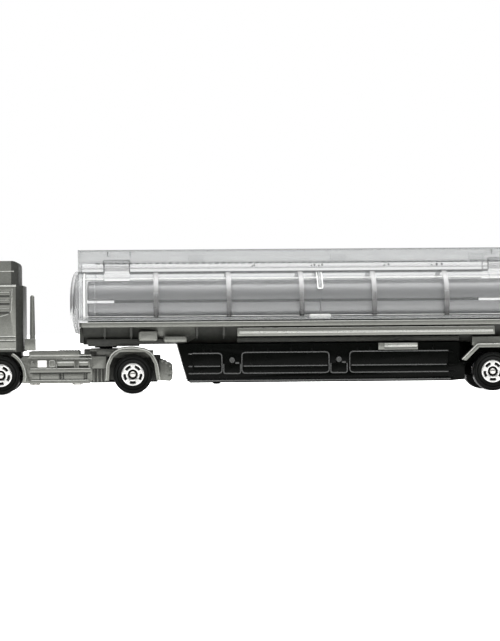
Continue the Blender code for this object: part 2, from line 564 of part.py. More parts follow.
# Trailer base -------------------------------------------------------------------------------------
skirt = [(SKIRT_FRONT_TOP_X, SKIRT_TOP), (SKIRT_FRONT_LOW_X - 0.3, SKIRT_LOW + 0.6)]
skirt += [(SKIRT_FRONT_LOW_X + 0.3, SKIRT_LOW), (SKIRT_REAR_X - 3.5, SKIRT_LOW)]
skirt += [(SKIRT_REAR_X, SKIRT_LOW + 0.3), (SKIRT_REAR_X, 6.3)]
skirt += [(SKIRT_REAR_X - 1.2, 6.8), (SKIRT_REAR_X - 1.2, SKIRT_TOP)]
trailer_base = prism("trailer_base", skirt, "Y", -SKIRT_HALF, SKIRT_HALF, BLACK)
belly = ((-12.2, -SKIRT_HALF + SKIRT_WALL, 0), (SKIRT_REAR_X - 2.4, SKIRT_HALF - SKIRT_WALL, SKIRT_ROOF_LOW))
cut(trailer_base, blocks("belly", [belly]))
rear_frame = [((SKIRT_REAR_X - 2.2, -SPINE_HALF, SPINE_LOW), (69.0, SPINE_HALF, SKIRT_TOP))]
join(trailer_base, blocks("rear_frame", rear_frame))
join(trailer_base, blocks("rear_bumper", [((67.8, -11.4, 4.2), (REAR, 11.4, 9.4))]))
ribs = []
rib_inner, rib_outer = SKIRT_HALF - 0.2, SKIRT_HALF + RIB_PROUD
for box_front, box_rear, box_top in BOXES:
    for level in RIB_LEVELS + (box_top - 0.3,):
        ribs += both_sides(box_front, box_rear, rib_inner, rib_outer, level - 0.25, level + 0.25)
ribs += both_sides(SKIRT_FRONT_LOW_X + 1.0, SKIRT_REAR_X - 4.0, rib_inner, rib_outer, 2.6, 3.1)
for unit_front, unit_rear in UNITS:
    ribs += both_sides(unit_front, unit_rear, rib_inner, rib_outer, 4.6, 6.8)
join(trailer_base, blocks("skirt_ribs", ribs))

trailer_rivets = (("trailer_rivet_front", -8.0), ("trailer_rivet_middle", 20.0), ("trailer_rivet_rear", 45.0))
for rivet_name, rivet_x in trailer_rivets:
    cut(trailer_base, cylinder(rivet_name + "_hole", 1.0, SKIRT_ROOF_LOW - 1, SKIRT_TOP + 1, rivet_x))
    rivet(rivet_name, rivet_x, SKIRT_ROOF_LOW - 0.7, SKIRT_TOP, trailer)

retainer_box = ((51.0, -PLATE_HALF, PLATE_LOW + 0.2), (62.0, PLATE_HALF, PLATE_HIGH))
trailer_axle_retainer = blocks("trailer_axle_retainer", [retainer_box], BLACK)
join(trailer_axle_retainer, blocks("trailer_forks", fork_boxes(TRAILER_AXLE_X)))

pin_profile = [(0, 11.1), (2.6, 11.1), (2.6, 10.6), (PIN_RADIUS, 10.6), (PIN_RADIUS, 6.1)]
pin_profile += [(2.2, 6.1), (2.0, 5.2), (0, 5.2)]
kingpin = turned("kingpin", pin_profile, BLACK, steps=20)
kingpin.location.x = PIVOT_X * MM
attach(trailer, tank_tray, tank_drum_lower, tank_drum_upper, tank_cover)
attach(trailer, trailer_base, trailer_axle_retainer, kingpin)

for side_name, side in (("left", -1), ("right", 1)):
    valve_boxes = both_sides(29.8, 39.0, SKIRT_HALF + GAP, 12.3, 9.7, 11.3)
    valve_box = blocks("valve_box_" + side_name, [valve_boxes[0 if side < 0 else 1]])
    attach(trailer, valve_box)

bpy.context.view_layer.update()
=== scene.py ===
# %% [markdown]
# # A pocket-size die-cast tanker truck
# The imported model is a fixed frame: every node is at its real place and size. This lesson gives the toy its looks.
# Lengths are in millimetres unless a comment says otherwise. X runs from the cab to the rear, and Y from left to right.
# The castings get soft edges and metallic paint, the wheels their foil rings, and the tank its clear plastic cover.

# %% Load the frame
import math

import bmesh
import bpy
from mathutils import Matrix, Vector


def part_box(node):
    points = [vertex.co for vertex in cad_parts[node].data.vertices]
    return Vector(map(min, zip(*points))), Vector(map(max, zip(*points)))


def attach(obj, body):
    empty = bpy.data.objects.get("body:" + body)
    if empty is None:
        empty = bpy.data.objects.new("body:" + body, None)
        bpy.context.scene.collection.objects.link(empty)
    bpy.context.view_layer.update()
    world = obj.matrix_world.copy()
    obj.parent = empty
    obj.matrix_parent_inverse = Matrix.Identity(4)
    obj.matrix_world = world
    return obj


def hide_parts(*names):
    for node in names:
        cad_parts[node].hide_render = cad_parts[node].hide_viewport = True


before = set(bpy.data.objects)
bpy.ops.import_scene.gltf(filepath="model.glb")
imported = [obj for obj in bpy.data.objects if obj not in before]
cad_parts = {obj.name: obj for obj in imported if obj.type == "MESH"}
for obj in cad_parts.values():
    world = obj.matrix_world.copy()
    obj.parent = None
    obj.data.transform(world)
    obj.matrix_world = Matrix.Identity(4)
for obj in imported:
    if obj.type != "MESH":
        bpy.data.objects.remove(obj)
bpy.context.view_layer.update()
MM = 0.001

# %% [markdown]
# ## Camera
# The toy is seen level from its left side, through a long lens about 0.6 m away. A long lens keeps the far wheels
# almost hidden behind the near ones. The camera stands a little forward of the middle and turns towards the rear.

# %% Camera
SIDE = -12.0  # the toy's near side
camera_data = bpy.data.cameras.new("camera")
camera_data.lens = 146.0
camera_data.sensor_width = 36.0
camera_data.clip_start, camera_data.clip_end = 0.01, 10.0
camera = bpy.data.objects.new("camera", camera_data)
bpy.context.scene.collection.objects.link(camera)
camera.location = (-25.0 * MM, (SIDE - 600.0) * MM, 16.5 * MM)
camera.rotation_euler = (math.radians(90.02), math.radians(0.47), math.radians(-2.4))
bpy.context.scene.camera = camera
print("camera", tuple(camera.location), "lens", camera_data.lens)

# %% [markdown]
# ## Studio
# A metallic paint shows its surroundings, so the studio matters as much as the paint. The ceiling is a large soft
# light, the walls are grey, and the floor is pale. The camera itself sees a white backdrop.

# %% Studio
scene = bpy.context.scene
scene.view_settings.view_transform = "Standard"
world = bpy.data.worlds.new("studio")
scene.world = world
world.use_nodes = True
sky = world.node_tree
sky.nodes.clear()


def node(tree, kind, links=None, **settings):
    """Adds a node, sets its properties or inputs, and links its inputs from other sockets."""
    made = tree.nodes.new(kind)
    for key, value in settings.items():
        if hasattr(made, key):
            setattr(made, key, value)
        else:
            made.inputs[key.replace("_", " ")].default_value = value
    for key, source in (links or {}).items():
        tree.links.new(source, made.inputs[key])
    return made


def ramp(tree, factor, stops):
    """A colour ramp with grey or colour stops."""
    made = node(tree, "ShaderNodeValToRGB", {"Fac": factor})
    elements = made.color_ramp.elements
    while len(elements) < len(stops):
        elements.new(0.5)
    for element, (place, colour) in zip(elements, stops):
        element.position = place
        element.color = (colour, colour, colour, 1) if isinstance(colour, float) else colour
    return made


direction = node(sky, "ShaderNodeTexCoord")
split = node(sky, "ShaderNodeSeparateXYZ", {0: direction.outputs["Generated"]})
height = node(sky, "ShaderNodeMapRange", {0: split.outputs["Z"]})
height.inputs["From Min"].default_value = -1.0
walls = ramp(sky, height.outputs[0], [(0.0, 0.05), (0.5, 0.10), (0.58, 0.16), (0.68, 0.5), (0.85, 1.5), (1.0, 1.7)])
room = node(sky, "ShaderNodeBackground", {"Color": walls.outputs[0]}, Strength=1.0)
backdrop = node(sky, "ShaderNodeBackground", Color=(1, 1, 1, 1), Strength=1.0)
ray = node(sky, "ShaderNodeLightPath")
seen = node(sky, "ShaderNodeMixShader", {0: ray.outputs["Is Camera Ray"], 1: room.outputs[0], 2: backdrop.outputs[0]})
node(sky, "ShaderNodeOutputWorld", {0: seen.outputs[0]})


def area_light(name, place, target, size, power):
    """A soft rectangular light in metres that faces its target."""
    data = bpy.data.lights.new(name, "AREA")
    data.shape = "RECTANGLE"
    data.size, data.size_y = size
    data.energy = power
    lamp = bpy.data.objects.new(name, data)
    scene.collection.objects.link(lamp)
    lamp.location = place
    lamp.rotation_euler = (Vector(target) - Vector(place)).to_track_quat("-Z", "Y").to_euler()


area_light("ceiling", (0, 0.05, 0.45), (0, 0, 0), (0.6, 0.45), 2.4)
area_light("end_left", (-0.5, 0.0, 0.3), (0, 0, 0.02), (0.3, 0.3), 0.3)
area_light("end_right", (0.5, 0.1, 0.3), (0, 0, 0.02), (0.3, 0.3), 0.3)

# %% [markdown]
# ## Finishes
# Each finish starts from the real material: zinc casting with silver metallic paint, silver-coated polystyrene, clear
# polystyrene, glossy black ABS, hot-stamped foil, and nickel-plated steel.


# %% Colour and bump helpers
def linear(hex_colour):
    """sRGB hex to linear RGBA."""
    channels = [int(hex_colour[i : i + 2], 16) / 255 for i in (1, 3, 5)]
    return tuple(c / 12.92 if c <= 0.04045 else ((c + 0.055) / 1.055) ** 2.4 for c in channels) + (1.0,)


def finish_for(name, colour, metallic, roughness, **extra):
    """A Principled material; returns it with its tree, shader and object coordinates."""
    made = bpy.data.materials.new(name)
    made.use_nodes = True
    tree = made.node_tree
    shader = tree.nodes["Principled BSDF"]
    shader.inputs["Base Color"].default_value = linear(colour)
    shader.inputs["Metallic"].default_value = metallic
    shader.inputs["Roughness"].default_value = roughness
    for key, value in extra.items():
        shader.inputs[key.replace("_", " ")].default_value = value
    place = node(tree, "ShaderNodeTexCoord").outputs["Object"]
    return made, tree, shader, place


def grain(tree, place, size_mm, detail=3.0, rough=0.6):
    """Noise whose blotches are about this many millimetres across."""
    made = node(tree, "ShaderNodeTexNoise", {"Vector": place}, Scale=1 / (size_mm * MM), Detail=detail, Roughness=rough)
    return made.outputs["Fac"]


def bumped(tree, shader, factor, depth_mm, strength):
    """Relief as deep as this where the factor changes."""
    made = node(tree, "ShaderNodeBump", {"Height": factor}, Strength=strength, Distance=depth_mm * MM)
    tree.links.new(made.outputs[0], shader.inputs["Normal"])


def varied(tree, shader, factor, low, high, socket="Roughness"):
    """Spreads a factor over a range of a shader value."""
    made = node(tree, "ShaderNodeMapRange", {0: factor})
    made.inputs["From Min"].default_value, made.inputs["From Max"].default_value = 0.3, 0.7
    made.inputs["To Min"].default_value, made.inputs["To Max"].default_value = low, high
    tree.links.new(made.outputs[0], shader.inputs[socket])


def tinted(tree, shader, factor, dark, light):
    """Colour variation between two close shades."""
    made = ramp(tree, factor, [(0.32, linear(dark)), (0.68, linear(light))])
    tree.links.new(made.outputs[0], shader.inputs["Base Color"])


def detailed(name, colour, metallic, roughness, tint=None, gloss=None, relief=None, **inputs):
    """A finish that varies. The tint is (size, detail, dark, light), the gloss is (size, low, high) and the relief is
    (size, detail, depth, strength); sizes and depths are in mm."""
    made, tree, shader, place = finish_for(name, colour, metallic, roughness, **inputs)
    if tint:
        tinted(tree, shader, grain(tree, place, *tint[:2]), *tint[2:])
    if gloss:
        varied(tree, shader, grain(tree, place, gloss[0]), *gloss[1:])
    if relief:
        bumped(tree, shader, grain(tree, place, *relief[:2]), *relief[2:])
    return made


# %% Silver metallic paint on zinc casting
# Sprayed paint with fine flake: the flake glitters in patches of a few tenths of a millimetre, drawn as coarse as the
# picture can show, and the coat pools in a faint orange peel about a millimetre across.
silver_paint = detailed("silver_metallic_paint", "#6a6b66", 0.7, 0.4, (0.3, 4.0, "#63645f", "#71726d"),
                        (0.8, 0.36, 0.46), (0.5, 4.0, 0.006, 0.5), Coat_Weight=0.2, Coat_Roughness=0.2)
# A lighter copy of the silver paint is a painted highlight on beads, edges and lines, and on a few small plates and
# lids.
highlight_silver_paint = detailed("silver_paint_painted_highlight", "#9c9d97", 0.8, 0.3, (0.4, 4.0, "#929390", "#a6a7a1"),
                        (0.6, 0.25, 0.36), (0.5, 4.0, 0.005, 0.5))
# A near-white copy of the paint stands in for the polished cap's bright reflection: a painted reflection.
cap_painted_reflection = detailed("pale_silver_painted_reflection", "#dcdcd8", 0.2, 0.5, (0.3, 3.0, "#d6d6d2", "#e2e2de"))

# %% The same paint, darkened as painted shade
# Two dark, dull copies of the silver paint are painted shade. The darker one lies below the tray's rim, inside the
# drum's seam and in grooves and gaps; the other on the faces that look back from the cab and low in the chassis.
shaded_paint = detailed("silver_paint_painted_deep_shade", "#20211d", 0.2, 0.6, (0.9, 4.0, "#1a1b18", "#262722"),
                        relief=(0.6, 4.0, 0.01, 0.5))
shade_silver_paint = detailed("silver_paint_painted_shade", "#2f302d", 0.5, 0.5, (0.6, 4.0, "#2a2b28", "#363733"),
                      relief=(0.5, 4.0, 0.01, 0.5))

# %% Silver coating on the drum
drum_silver = detailed("silver_coated_polystyrene", "#6a6a6a", 0.85, 0.4, (0.3, 4.0, "#636363", "#717171"),
                       (0.6, 0.36, 0.44), (0.35, 4.0, 0.005, 0.5))

# %% Black plastics
# The glossy faces are black mirrors of a dark room, so their shine is held low. The ribs are a lighter grey copy with
# more shine; the grey is a painted highlight. The plastic inside the cab is dull.
black_abs = detailed("glossy_black_abs", "#030403", 0.0, 0.3, None, (1.5, 0.24, 0.38), (0.7, 3.0, 0.008, 0.5),
                     Specular_IOR_Level=0.05)
highlight_black_abs = detailed("black_abs_painted_highlight", "#3c3d3c", 0.0, 0.3, None, (0.8, 0.22, 0.4), (0.5, 3.0, 0.008, 0.5),
                      Specular_IOR_Level=0.5)
wheel_black = detailed("moulded_black_wheel_plastic", "#040504", 0.0, 0.42, None, (0.5, 0.36, 0.5),
                       (0.3, 3.0, 0.01, 0.6), Specular_IOR_Level=0.12)
dark_plastic = detailed("dull_dark_polystyrene", "#1d1e1d", 0.0, 0.55, (0.8, 3.0, "#191a19", "#222322"),
                        relief=(0.4, 3.0, 0.02, 0.6))

# %% Foil ring and plated steel
foil = detailed("hot_stamped_foil", "#c9c9c7", 1.0, 0.26, None, (0.4, 0.2, 0.36), (0.4, 3.0, 0.008, 0.5))
plated_steel = detailed("nickel_plated_steel", "#bdbcb8", 1.0, 0.24, None, (0.3, 0.18, 0.34), (0.25, 2.0, 0.006, 0.5))


# %% Clear polystyrene
# Thin clear walls hardly bend light, so the body of the wall is a see-through coat that turns stronger where it is
# seen edge-on. The gloss is the shader's own.
def clear_finish(name, colour, face_on, edge_on):
    """A clear finish that covers this much face-on and this much edge-on."""
    made, tree, shader, place = finish_for(name, colour, 0.0, 0.05, Coat_Weight=0.0)
    facing = node(tree, "ShaderNodeLayerWeight", Blend=0.5).outputs["Facing"]
    cover = ramp(tree, facing, [(0.0, face_on), (0.55, face_on * 1.3), (0.85, (face_on + edge_on) / 2), (1.0, edge_on)])
    tree.links.new(cover.outputs[0], shader.inputs["Alpha"])
    bumped(tree, shader, grain(tree, place, 3.0, 2.0), 0.02, 0.3)
    return made


clear_ps = clear_finish("clear_polystyrene", "#c4c7c8", 0.08, 0.7)
# The dome's darker grey and the dark grey coat are painted shade, and the near-white coat a painted highlight, where
# the real walls bend light.
clear_dome_painted_shade = clear_finish("clear_polystyrene_dome_painted_shade", "#6f7172", 0.1, 0.85)
clear_rib = clear_finish("clear_polystyrene_thick", "#b4b6b6", 0.36, 0.8)
clear_painted_highlight = clear_finish("clear_polystyrene_painted_highlight", "#ededeb", 0.75, 0.95)
clear_painted_shade = clear_finish("clear_polystyrene_painted_shade", "#5c5e5f", 0.6, 0.85)
smoke_ps = clear_finish("smoke_tinted_polystyrene", "#15181a", 0.72, 0.95)

# The hoops' colour is a painted reflection, lighter towards the top of the tank, where they catch the ceiling, and
# darker towards its foot, where they catch the dark tray.
hoop_painted_reflection, tree, shader, place = finish_for("clear_polystyrene_hoop_painted_reflection", "#c4c7c8", 0.0, 0.2, Alpha=0.5)
level = node(tree, "ShaderNodeSeparateXYZ", {0: place})
height = node(tree, "ShaderNodeMapRange", {0: level.outputs["Z"]})
height.inputs["From Min"].default_value, height.inputs["From Max"].default_value = 17.0 * MM, 26.0 * MM
hoop_reflection_stops = ramp(tree, height.outputs[0], [(0.0, 0.02), (0.25, 0.07), (0.6, 0.25), (0.85, 0.5), (1.0, 0.6)])
tree.links.new(hoop_reflection_stops.outputs[0], shader.inputs["Base Color"])
bumped(tree, shader, grain(tree, place, 2.0, 2.0), 0.02, 0.3)
red_lens = clear_finish("red_lamp_paint", "#a8120f", 0.95, 1.0)
lamp_lens = clear_finish("clear_lamp_lens", "#d9dde0", 0.55, 0.9)
print("materials", len(bpy.data.materials))

# %% [markdown]
# ## Working by hand in edit mode
# Operators act on all that is selected, so every step starts from nothing selected. Faces and edges are then picked
# by their place or by the way they face.


# %% Selection helpers
def only(piece):
    """Leaves edit mode and selects one piece alone."""
    if bpy.context.object and bpy.context.object.mode != "OBJECT":
        bpy.ops.object.mode_set(mode="OBJECT")
    bpy.ops.object.select_all(action="DESELECT")
    piece.select_set(True)
    bpy.context.view_layer.objects.active = piece
    return piece


def applied():
    """Writes the selected piece's place, turn and size into its mesh."""
    bpy.ops.object.transform_apply(location=True, rotation=True, scale=True)


def started(name, finish=None):
    """Names the piece just made and may give it a finish."""
    piece = bpy.context.object
    piece.name = name
    piece.data.name = name
    if not finish:
        return piece
    piece.data.materials.clear()
    piece.data.materials.append(finish)
    return piece


def open_up(piece, kind="FACE"):
    """Edit mode with nothing selected."""
    only(piece)
    bpy.ops.object.mode_set(mode="EDIT")
    bpy.ops.mesh.select_mode(type=kind)
    bpy.ops.mesh.select_all(action="DESELECT")


def pick(piece, test):
    """Selects the faces or edges for which test is true."""
    work = bmesh.from_edit_mesh(piece.data)
    for item in work.faces if bpy.context.tool_settings.mesh_select_mode[2] else work.edges:
        item.select = bool(test(item))
    work.select_flush_mode()
    bmesh.update_edit_mesh(piece.data)


def close_up(piece, smooth=None):
    """Back to object mode, place applied, shaded smooth up to an angle in degrees."""
    only(piece)
    applied()
    if smooth is not None:
        smoothed(piece, smooth)
    return piece


def smoothed(piece, degrees):
    """Shades a piece smooth up to an angle."""
    only(piece)
    bpy.ops.object.shade_smooth_by_angle(angle=math.radians(degrees))
    return piece


def modify(piece, kind, **settings):
    """Adds a modifier and applies it."""
    only(piece)
    step = piece.modifiers.new(kind.lower(), kind)
    for key, value in settings.items():
        setattr(step, key, value)
    bpy.ops.object.modifier_apply(modifier=step.name)


def bevelled(piece, width_mm, degrees, segments=2):
    """Rounds the edges that are sharper than an angle."""
    modify(piece, "BEVEL", width=width_mm * MM, segments=segments, limit_method="ANGLE",
           angle_limit=math.radians(degrees))


def box(name, low, high, finish, round_mm=0.12, segments=2):
    """A box between two corners in mm, with all its edges rounded by the bevel operator."""
    bpy.ops.object.select_all(action="DESELECT")
    middle = [(l + h) / 2 * MM for l, h in zip(low, high)]
    bpy.ops.mesh.primitive_cube_add(size=1, location=middle)
    piece = started(name, finish)
    piece.scale = [(h - l) * MM for l, h in zip(low, high)]
    applied()
    if round_mm:
        open_up(piece, "EDGE")
        bpy.ops.mesh.select_all(action="SELECT")
        bpy.ops.mesh.bevel(offset=round_mm * MM, segments=segments, affect="EDGES")
        close_up(piece, 40)
    return piece


def joined(name, pieces):
    """Joins pieces into one object."""
    only(pieces[0])
    for piece in pieces[1:]:
        piece.select_set(True)
    bpy.ops.object.join()
    return started(name)


def panel(name, low, high, finish, corner, edge):
    """A raised panel on the left side: its four corners are rounded first, then the edge of its outer face."""
    piece = box(name, low, high, finish, 0)
    open_up(piece, "EDGE")
    pick(piece, lambda edge: abs(edge.verts[0].co.y - edge.verts[1].co.y) > 1e-6)
    bpy.ops.mesh.bevel(offset=corner * MM, segments=4, affect="EDGES")
    bpy.ops.mesh.select_all(action="DESELECT")
    face_y = low[1] * MM + 1e-6
    pick(piece, lambda edge: all(v.co.y < face_y for v in edge.verts))
    bpy.ops.mesh.bevel(offset=edge * MM, segments=3, affect="EDGES")
    return close_up(piece, 35)


def rounded(corners, radius, closed=False):
    """Rounds the corners of a line of points in a plane."""
    if not radius:
        return corners
    path = []
    for i, (x, z) in enumerate(corners):
        if not closed and i in (0, len(corners) - 1):
            path.append((x, z))
            continue
        corner = Vector((x, z))
        before = Vector(corners[i - 1]) - corner
        after = Vector(corners[(i + 1) % len(corners)]) - corner
        start, stop = corner + before.normalized() * radius, corner + after.normalized() * radius
        for t in (0.0, 0.25, 0.5, 0.75, 1.0):
            path.append(tuple(start * (1 - t) ** 2 + corner * 2 * t * (1 - t) + stop * t**2))
    return path


def arc_points(x, z, radius, degrees):
    """Points on a circle in X and Z, at these angles."""
    return [(x + radius * math.cos(math.radians(a)), z + radius * math.sin(math.radians(a))) for a in degrees]


def bead(name, points, thickness, finish, closed=False):
    """A round bead along a line of (x, y, z) points: a curve with a bevel, turned into a mesh."""
    path = bpy.data.curves.new(name, "CURVE")
    path.dimensions = "3D"
    path.bevel_depth = thickness / 2 * MM
    path.bevel_resolution = 2
    path.use_fill_caps = not closed
    line = path.splines.new("POLY")
    line.points.add(len(points) - 1)
    for point, place in zip(line.points, points):
        point.co = (*[value * MM for value in place], 1)
    line.use_cyclic_u = closed
    guide = bpy.data.objects.new(name, path)
    scene.collection.objects.link(guide)
    only(guide)
    bpy.ops.object.convert(target="MESH")
    return smoothed(started(name, finish), 50)


def side_bead(name, corners, y, thickness, finish, radius=0.0, closed=False):
    """A bead that lies flat against the left side at one y."""
    return bead(name, [(x, y, z) for x, z in rounded(corners, radius, closed)], thickness, finish, closed)


def pair(name, pieces, body, slot):
    """Joins pieces of the left side, mirrors them to the right side, and places both as one piece."""
    left = joined(name, pieces)
    bpy.ops.object.duplicate()
    right = bpy.context.object
    right.scale.y = -1
    applied()
    bpy.ops.object.mode_set(mode="EDIT")
    bpy.ops.mesh.select_all(action="SELECT")
    bpy.ops.mesh.normals_make_consistent(inside=False)
    bpy.ops.object.mode_set(mode="OBJECT")
    place_on(joined(name, [left, right]), body, slot)


def soft_copy(cad_node, name, finish, round_mm, prepare=None):
    """A copy of a CAD solid with merged corners, flat faces made whole, and softly rounded edges."""
    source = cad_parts[cad_node]
    only(source)
    bpy.ops.object.duplicate()
    piece = started(name, finish)
    piece.parent = None
    piece.matrix_world = source.matrix_world.copy()
    if prepare:
        prepare(piece)
    open_up(piece, "VERT")
    bpy.ops.mesh.select_all(action="SELECT")
    bpy.ops.mesh.remove_doubles(threshold=0.002 * MM)
    bpy.ops.mesh.dissolve_limited(angle_limit=math.radians(0.8))
    close_up(piece)
    bevelled(piece, round_mm, 32)
    return smoothed(piece, 35)


def place_on(piece, body, slot, *nodes):
    """A finished piece rides on its body and may stand for CAD nodes. The slot is not used."""
    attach(piece, body)
    if nodes:
        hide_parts(*nodes)
    print(piece.name, len(piece.data.polygons), "faces on", body)
    return piece


# %% [markdown]
# ## Castings
# The zinc castings leave their dies with edges rounded by a tenth or two of a millimetre, and the paint rounds them a
# little more. Each casting is a copy of its CAD solid whose edges are bevelled.

# %% Castings and the black base
castings = {
    "cab_shell": ("tractor", "silver_casting", silver_paint, 0.22),
    "front_bumper": ("tractor", "silver_casting", silver_paint, 0.3),
    "tractor_chassis": ("tractor", "silver_casting", silver_paint, 0.14),
    "intake_stack": ("tractor", "silver_casting", silver_paint, 0.12),
    "front_grille": ("tractor", "dark_plastic", dark_plastic, 0.08),
    "tank_tray": ("trailer", "silver_casting", silver_paint, 0.15),
    "trailer_base": ("trailer", "black_plastic", black_abs, 0.2),
    "valve_box_left": ("trailer", "silver_casting", silver_paint, 0.15),
    "valve_box_right": ("trailer", "silver_casting", silver_paint, 0.15),
}


SKIRT_Y = 11.3
SKIRT_END_X = 48.0
SUNK_Y = 9.7
TRAY_BOX = ((-25.7, -21.0), (12.0, 14.6))
TRAY_BAR = ((-20.1, -14.2), (11.6, 13.4))
TRAY_RAIL = ((-3.0, 57.1), (13.0, 15.1))
UNDERSIDE_RIBS = (-33.4, -27.3, -12.1, -5.9)


def within(spot, zone):
    """Whether a place in mm lies in a zone of the side, given as ranges of X and Z."""
    (x_low, x_high), (z_low, z_high) = zone
    return x_low < spot.x < x_high and z_low < spot.z < z_high


def press_sides(piece, depth_y, test):
    """Moves the corners for which test is true to one distance from the middle plane."""
    for vertex in piece.data.vertices:
        spot = piece.matrix_world @ vertex.co / MM
        if test(spot):
            vertex.co.y = math.copysign(depth_y * MM, spot.y) - piece.matrix_world.translation.y


def flat_sides(base):
    """Presses the base's stand-in ribs flush with its sides; their real form is modelled below."""
    press_sides(base, SKIRT_Y, lambda spot: spot.x < SKIRT_END_X and abs(spot.y) > SKIRT_Y)


def sunk_blocks(tray):
    """Presses the tray's stand-in blocks into its side; their rounded form is modelled below."""
    press_sides(tray, SUNK_Y, lambda spot: (within(spot, TRAY_BOX) and abs(spot.y) > 11.5)
                or (within(spot, TRAY_BAR) and abs(spot.y) > 11.3))


PREPARE = {"trailer_base": flat_sides, "tank_tray": sunk_blocks}
shown = {}
for cad_node, (body, slot, finish, round_mm) in castings.items():
    piece = soft_copy(cad_node, cad_node + "_finished", finish, round_mm, PREPARE.get(cad_node))
    shown[cad_node] = place_on(piece, body, slot, cad_node)


# %% Painted shade under the tray, on the faces that look back from the cab and low inside the chassis
RIM_FOOT, RIB_FOOT, RIB_HALF = 15.35, 13.1, 0.5
FENDER_FRONT, FENDER_TOP = 49.0, 11.3
CAB_BACK, CAB_LOW = -55.5, 10.0
DECK_FOOT, WELL_HALF = 8.8, 7.4
LINK_FRONT, LINK_REAR = -36.3, -33.0


def repaint(cad_node, finish, test):
    """Gives a second finish to the faces for which test(middle in mm, normal) is true."""
    mesh = shown[cad_node].data
    mesh.materials.append(finish)
    chosen = [face for face in mesh.polygons if test(face.center / MM, face.normal)]
    for face in chosen:
        face.material_index = 1
    print(cad_node, len(chosen), "faces in", finish.name)


def in_shade(middle):
    """Whether a face of the tray lies below the rim and is no outer block, rail or fender."""
    side = abs(middle.y)
    rib = middle.z > RIB_FOOT and any(abs(middle.x - x) < RIB_HALF for x in UNDERSIDE_RIBS)
    out_of_painted_shade = side > SKIRT_Y or (middle.x > FENDER_FRONT and middle.z < FENDER_TOP)
    for zone, half in ((TRAY_BOX, 9.6), (TRAY_BAR, 9.0), (TRAY_RAIL, 10.6)):
        out_of_painted_shade = out_of_painted_shade or (within(middle, zone) and side > half)
    return middle.z < RIM_FOOT and (rib or not out_of_painted_shade)


def low_inside(middle):
    """Whether a face of the chassis lies below the deck, in the link or between the wheels."""
    return middle.z < DECK_FOOT and (LINK_FRONT < middle.x < LINK_REAR or abs(middle.y) < WELL_HALF)


# Below the tray's rim the faces take the darker painted shade; the cab's backward faces and the low chassis the
# lighter.
repaint("tank_tray", shaded_paint, lambda middle, normal: in_shade(middle))
repaint("cab_shell", shade_silver_paint,
        lambda middle, normal: middle.x > CAB_BACK and normal.x > 0.12 and middle.z > CAB_LOW)
repaint("tractor_chassis", shade_silver_paint, lambda middle, normal: low_inside(middle))

# %% Finishes of the CAD nodes that are shown as they are
plain_finishes = {
    dark_plastic: ("cab_interior",),
    black_abs: ("tractor_base_plate", "trailer_axle_retainer", "kingpin"),
    plated_steel: ("tractor_rivet_front", "tractor_rivet_rear", "trailer_rivet_front", "trailer_rivet_middle",
                   "trailer_rivet_rear", "front_axle_spring", "drive_axle_spring", "trailer_axle_spring",
                   "front_axle", "drive_axle", "trailer_axle"),
    smoke_ps: ("cab_windows",),
}
for finish, cad_nodes in plain_finishes.items():
    for cad_node in cad_nodes:
        for material_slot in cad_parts[cad_node].material_slots:
            material_slot.material = finish
    print(finish.name, len(cad_nodes), "nodes")

# %% [markdown]
# ## Wheels
# Each wheel is one black moulding. Its sidewall has two grooves, its hub is dished, and a silver ring with five slots
# is stamped on it. A cylinder's cap is inset and pushed in and out again and again, as on a lathe.

# %% One wheel
WHEEL_RADIUS = 4.5
FRONT_AXLE_X = -57.4
WHEEL_VERTICES = 90
FACE_Y = -11.5
WHEEL_WIDTH = 3.6
# The turned profile of both faces, from the tread to the axle hole, as (inset, out) steps.
OUTER_STEPS = [(0.22, 0.0), (0.1, -0.14), (0.1, 0.14), (0.4, 0.0), (0.12, -0.16), (0.12, 0.16), (0.62, -0.1),
               (0.1, -0.32), (1.62, 0.0), (0.05, -0.5), (0.5, 0.0)]
INNER_STEPS = [(0.25, 0.0), (0.15, -0.12), (1.2, 0.0), (0.15, -0.9), (1.2, 0.0), (0.12, 0.7), (0.83, 0.0)]
RING_OUTER, SLOT_OUTER, SLOT_INNER, RING_INNER = 2.6, 2.17, 1.58, 1.16
SLOT_PITCH, SLOT_HALF, FIRST_SLOT = 72, 21.5, 54  # degrees


def stepped_cap(piece, towards, steps):
    """Insets the cap that faces a way along Y, and moves it by (inset, out) steps in mm."""
    open_up(piece)
    pick(piece, lambda face: face.normal.y * towards > 0.9)
    for inset, out in steps:
        if inset:
            bpy.ops.mesh.inset(thickness=inset * MM, use_even_offset=True)
        if out:
            bpy.ops.transform.translate(value=(0, towards * out * MM, 0))


def disc(name, x, y_middle, z, radius, width, vertices, finish):
    """A cylinder that lies along Y."""
    bpy.ops.object.select_all(action="DESELECT")
    bpy.ops.mesh.primitive_cylinder_add(
        vertices=vertices, radius=radius * MM, depth=width * MM, location=(x * MM, y_middle * MM, z * MM),
        rotation=(math.radians(90), 0, 0))
    piece = started(name, finish)
    applied()
    return piece


def left_wheel(name):
    """A wheel that stands on the floor at X 0 with its outer face at FACE_Y."""
    middle_y = FACE_Y + WHEEL_WIDTH / 2
    body = disc(name, 0, middle_y, WHEEL_RADIUS, WHEEL_RADIUS, WHEEL_WIDTH, WHEEL_VERTICES, wheel_black)
    for towards, steps in ((-1, OUTER_STEPS), (1, INNER_STEPS)):
        stepped_cap(body, towards, steps)
        bpy.ops.mesh.delete(type="FACE")
    bpy.ops.mesh.select_mode(type="EDGE")
    pick(body, lambda edge: edge.is_boundary)
    bpy.ops.mesh.bridge_edge_loops()
    bpy.ops.mesh.select_mode(type="EDGE")
    shoulder = (WHEEL_RADIUS - 0.01) * MM
    hub_line = Vector((0, 0, WHEEL_RADIUS * MM))
    pick(body, lambda edge: all((v.co - hub_line).xz.length > shoulder for v in edge.verts)
         and abs(edge.verts[0].co.y - edge.verts[1].co.y) < 1e-6)
    bpy.ops.mesh.bevel(offset=0.3 * MM, segments=4, affect="EDGES")
    return close_up(body, 35)


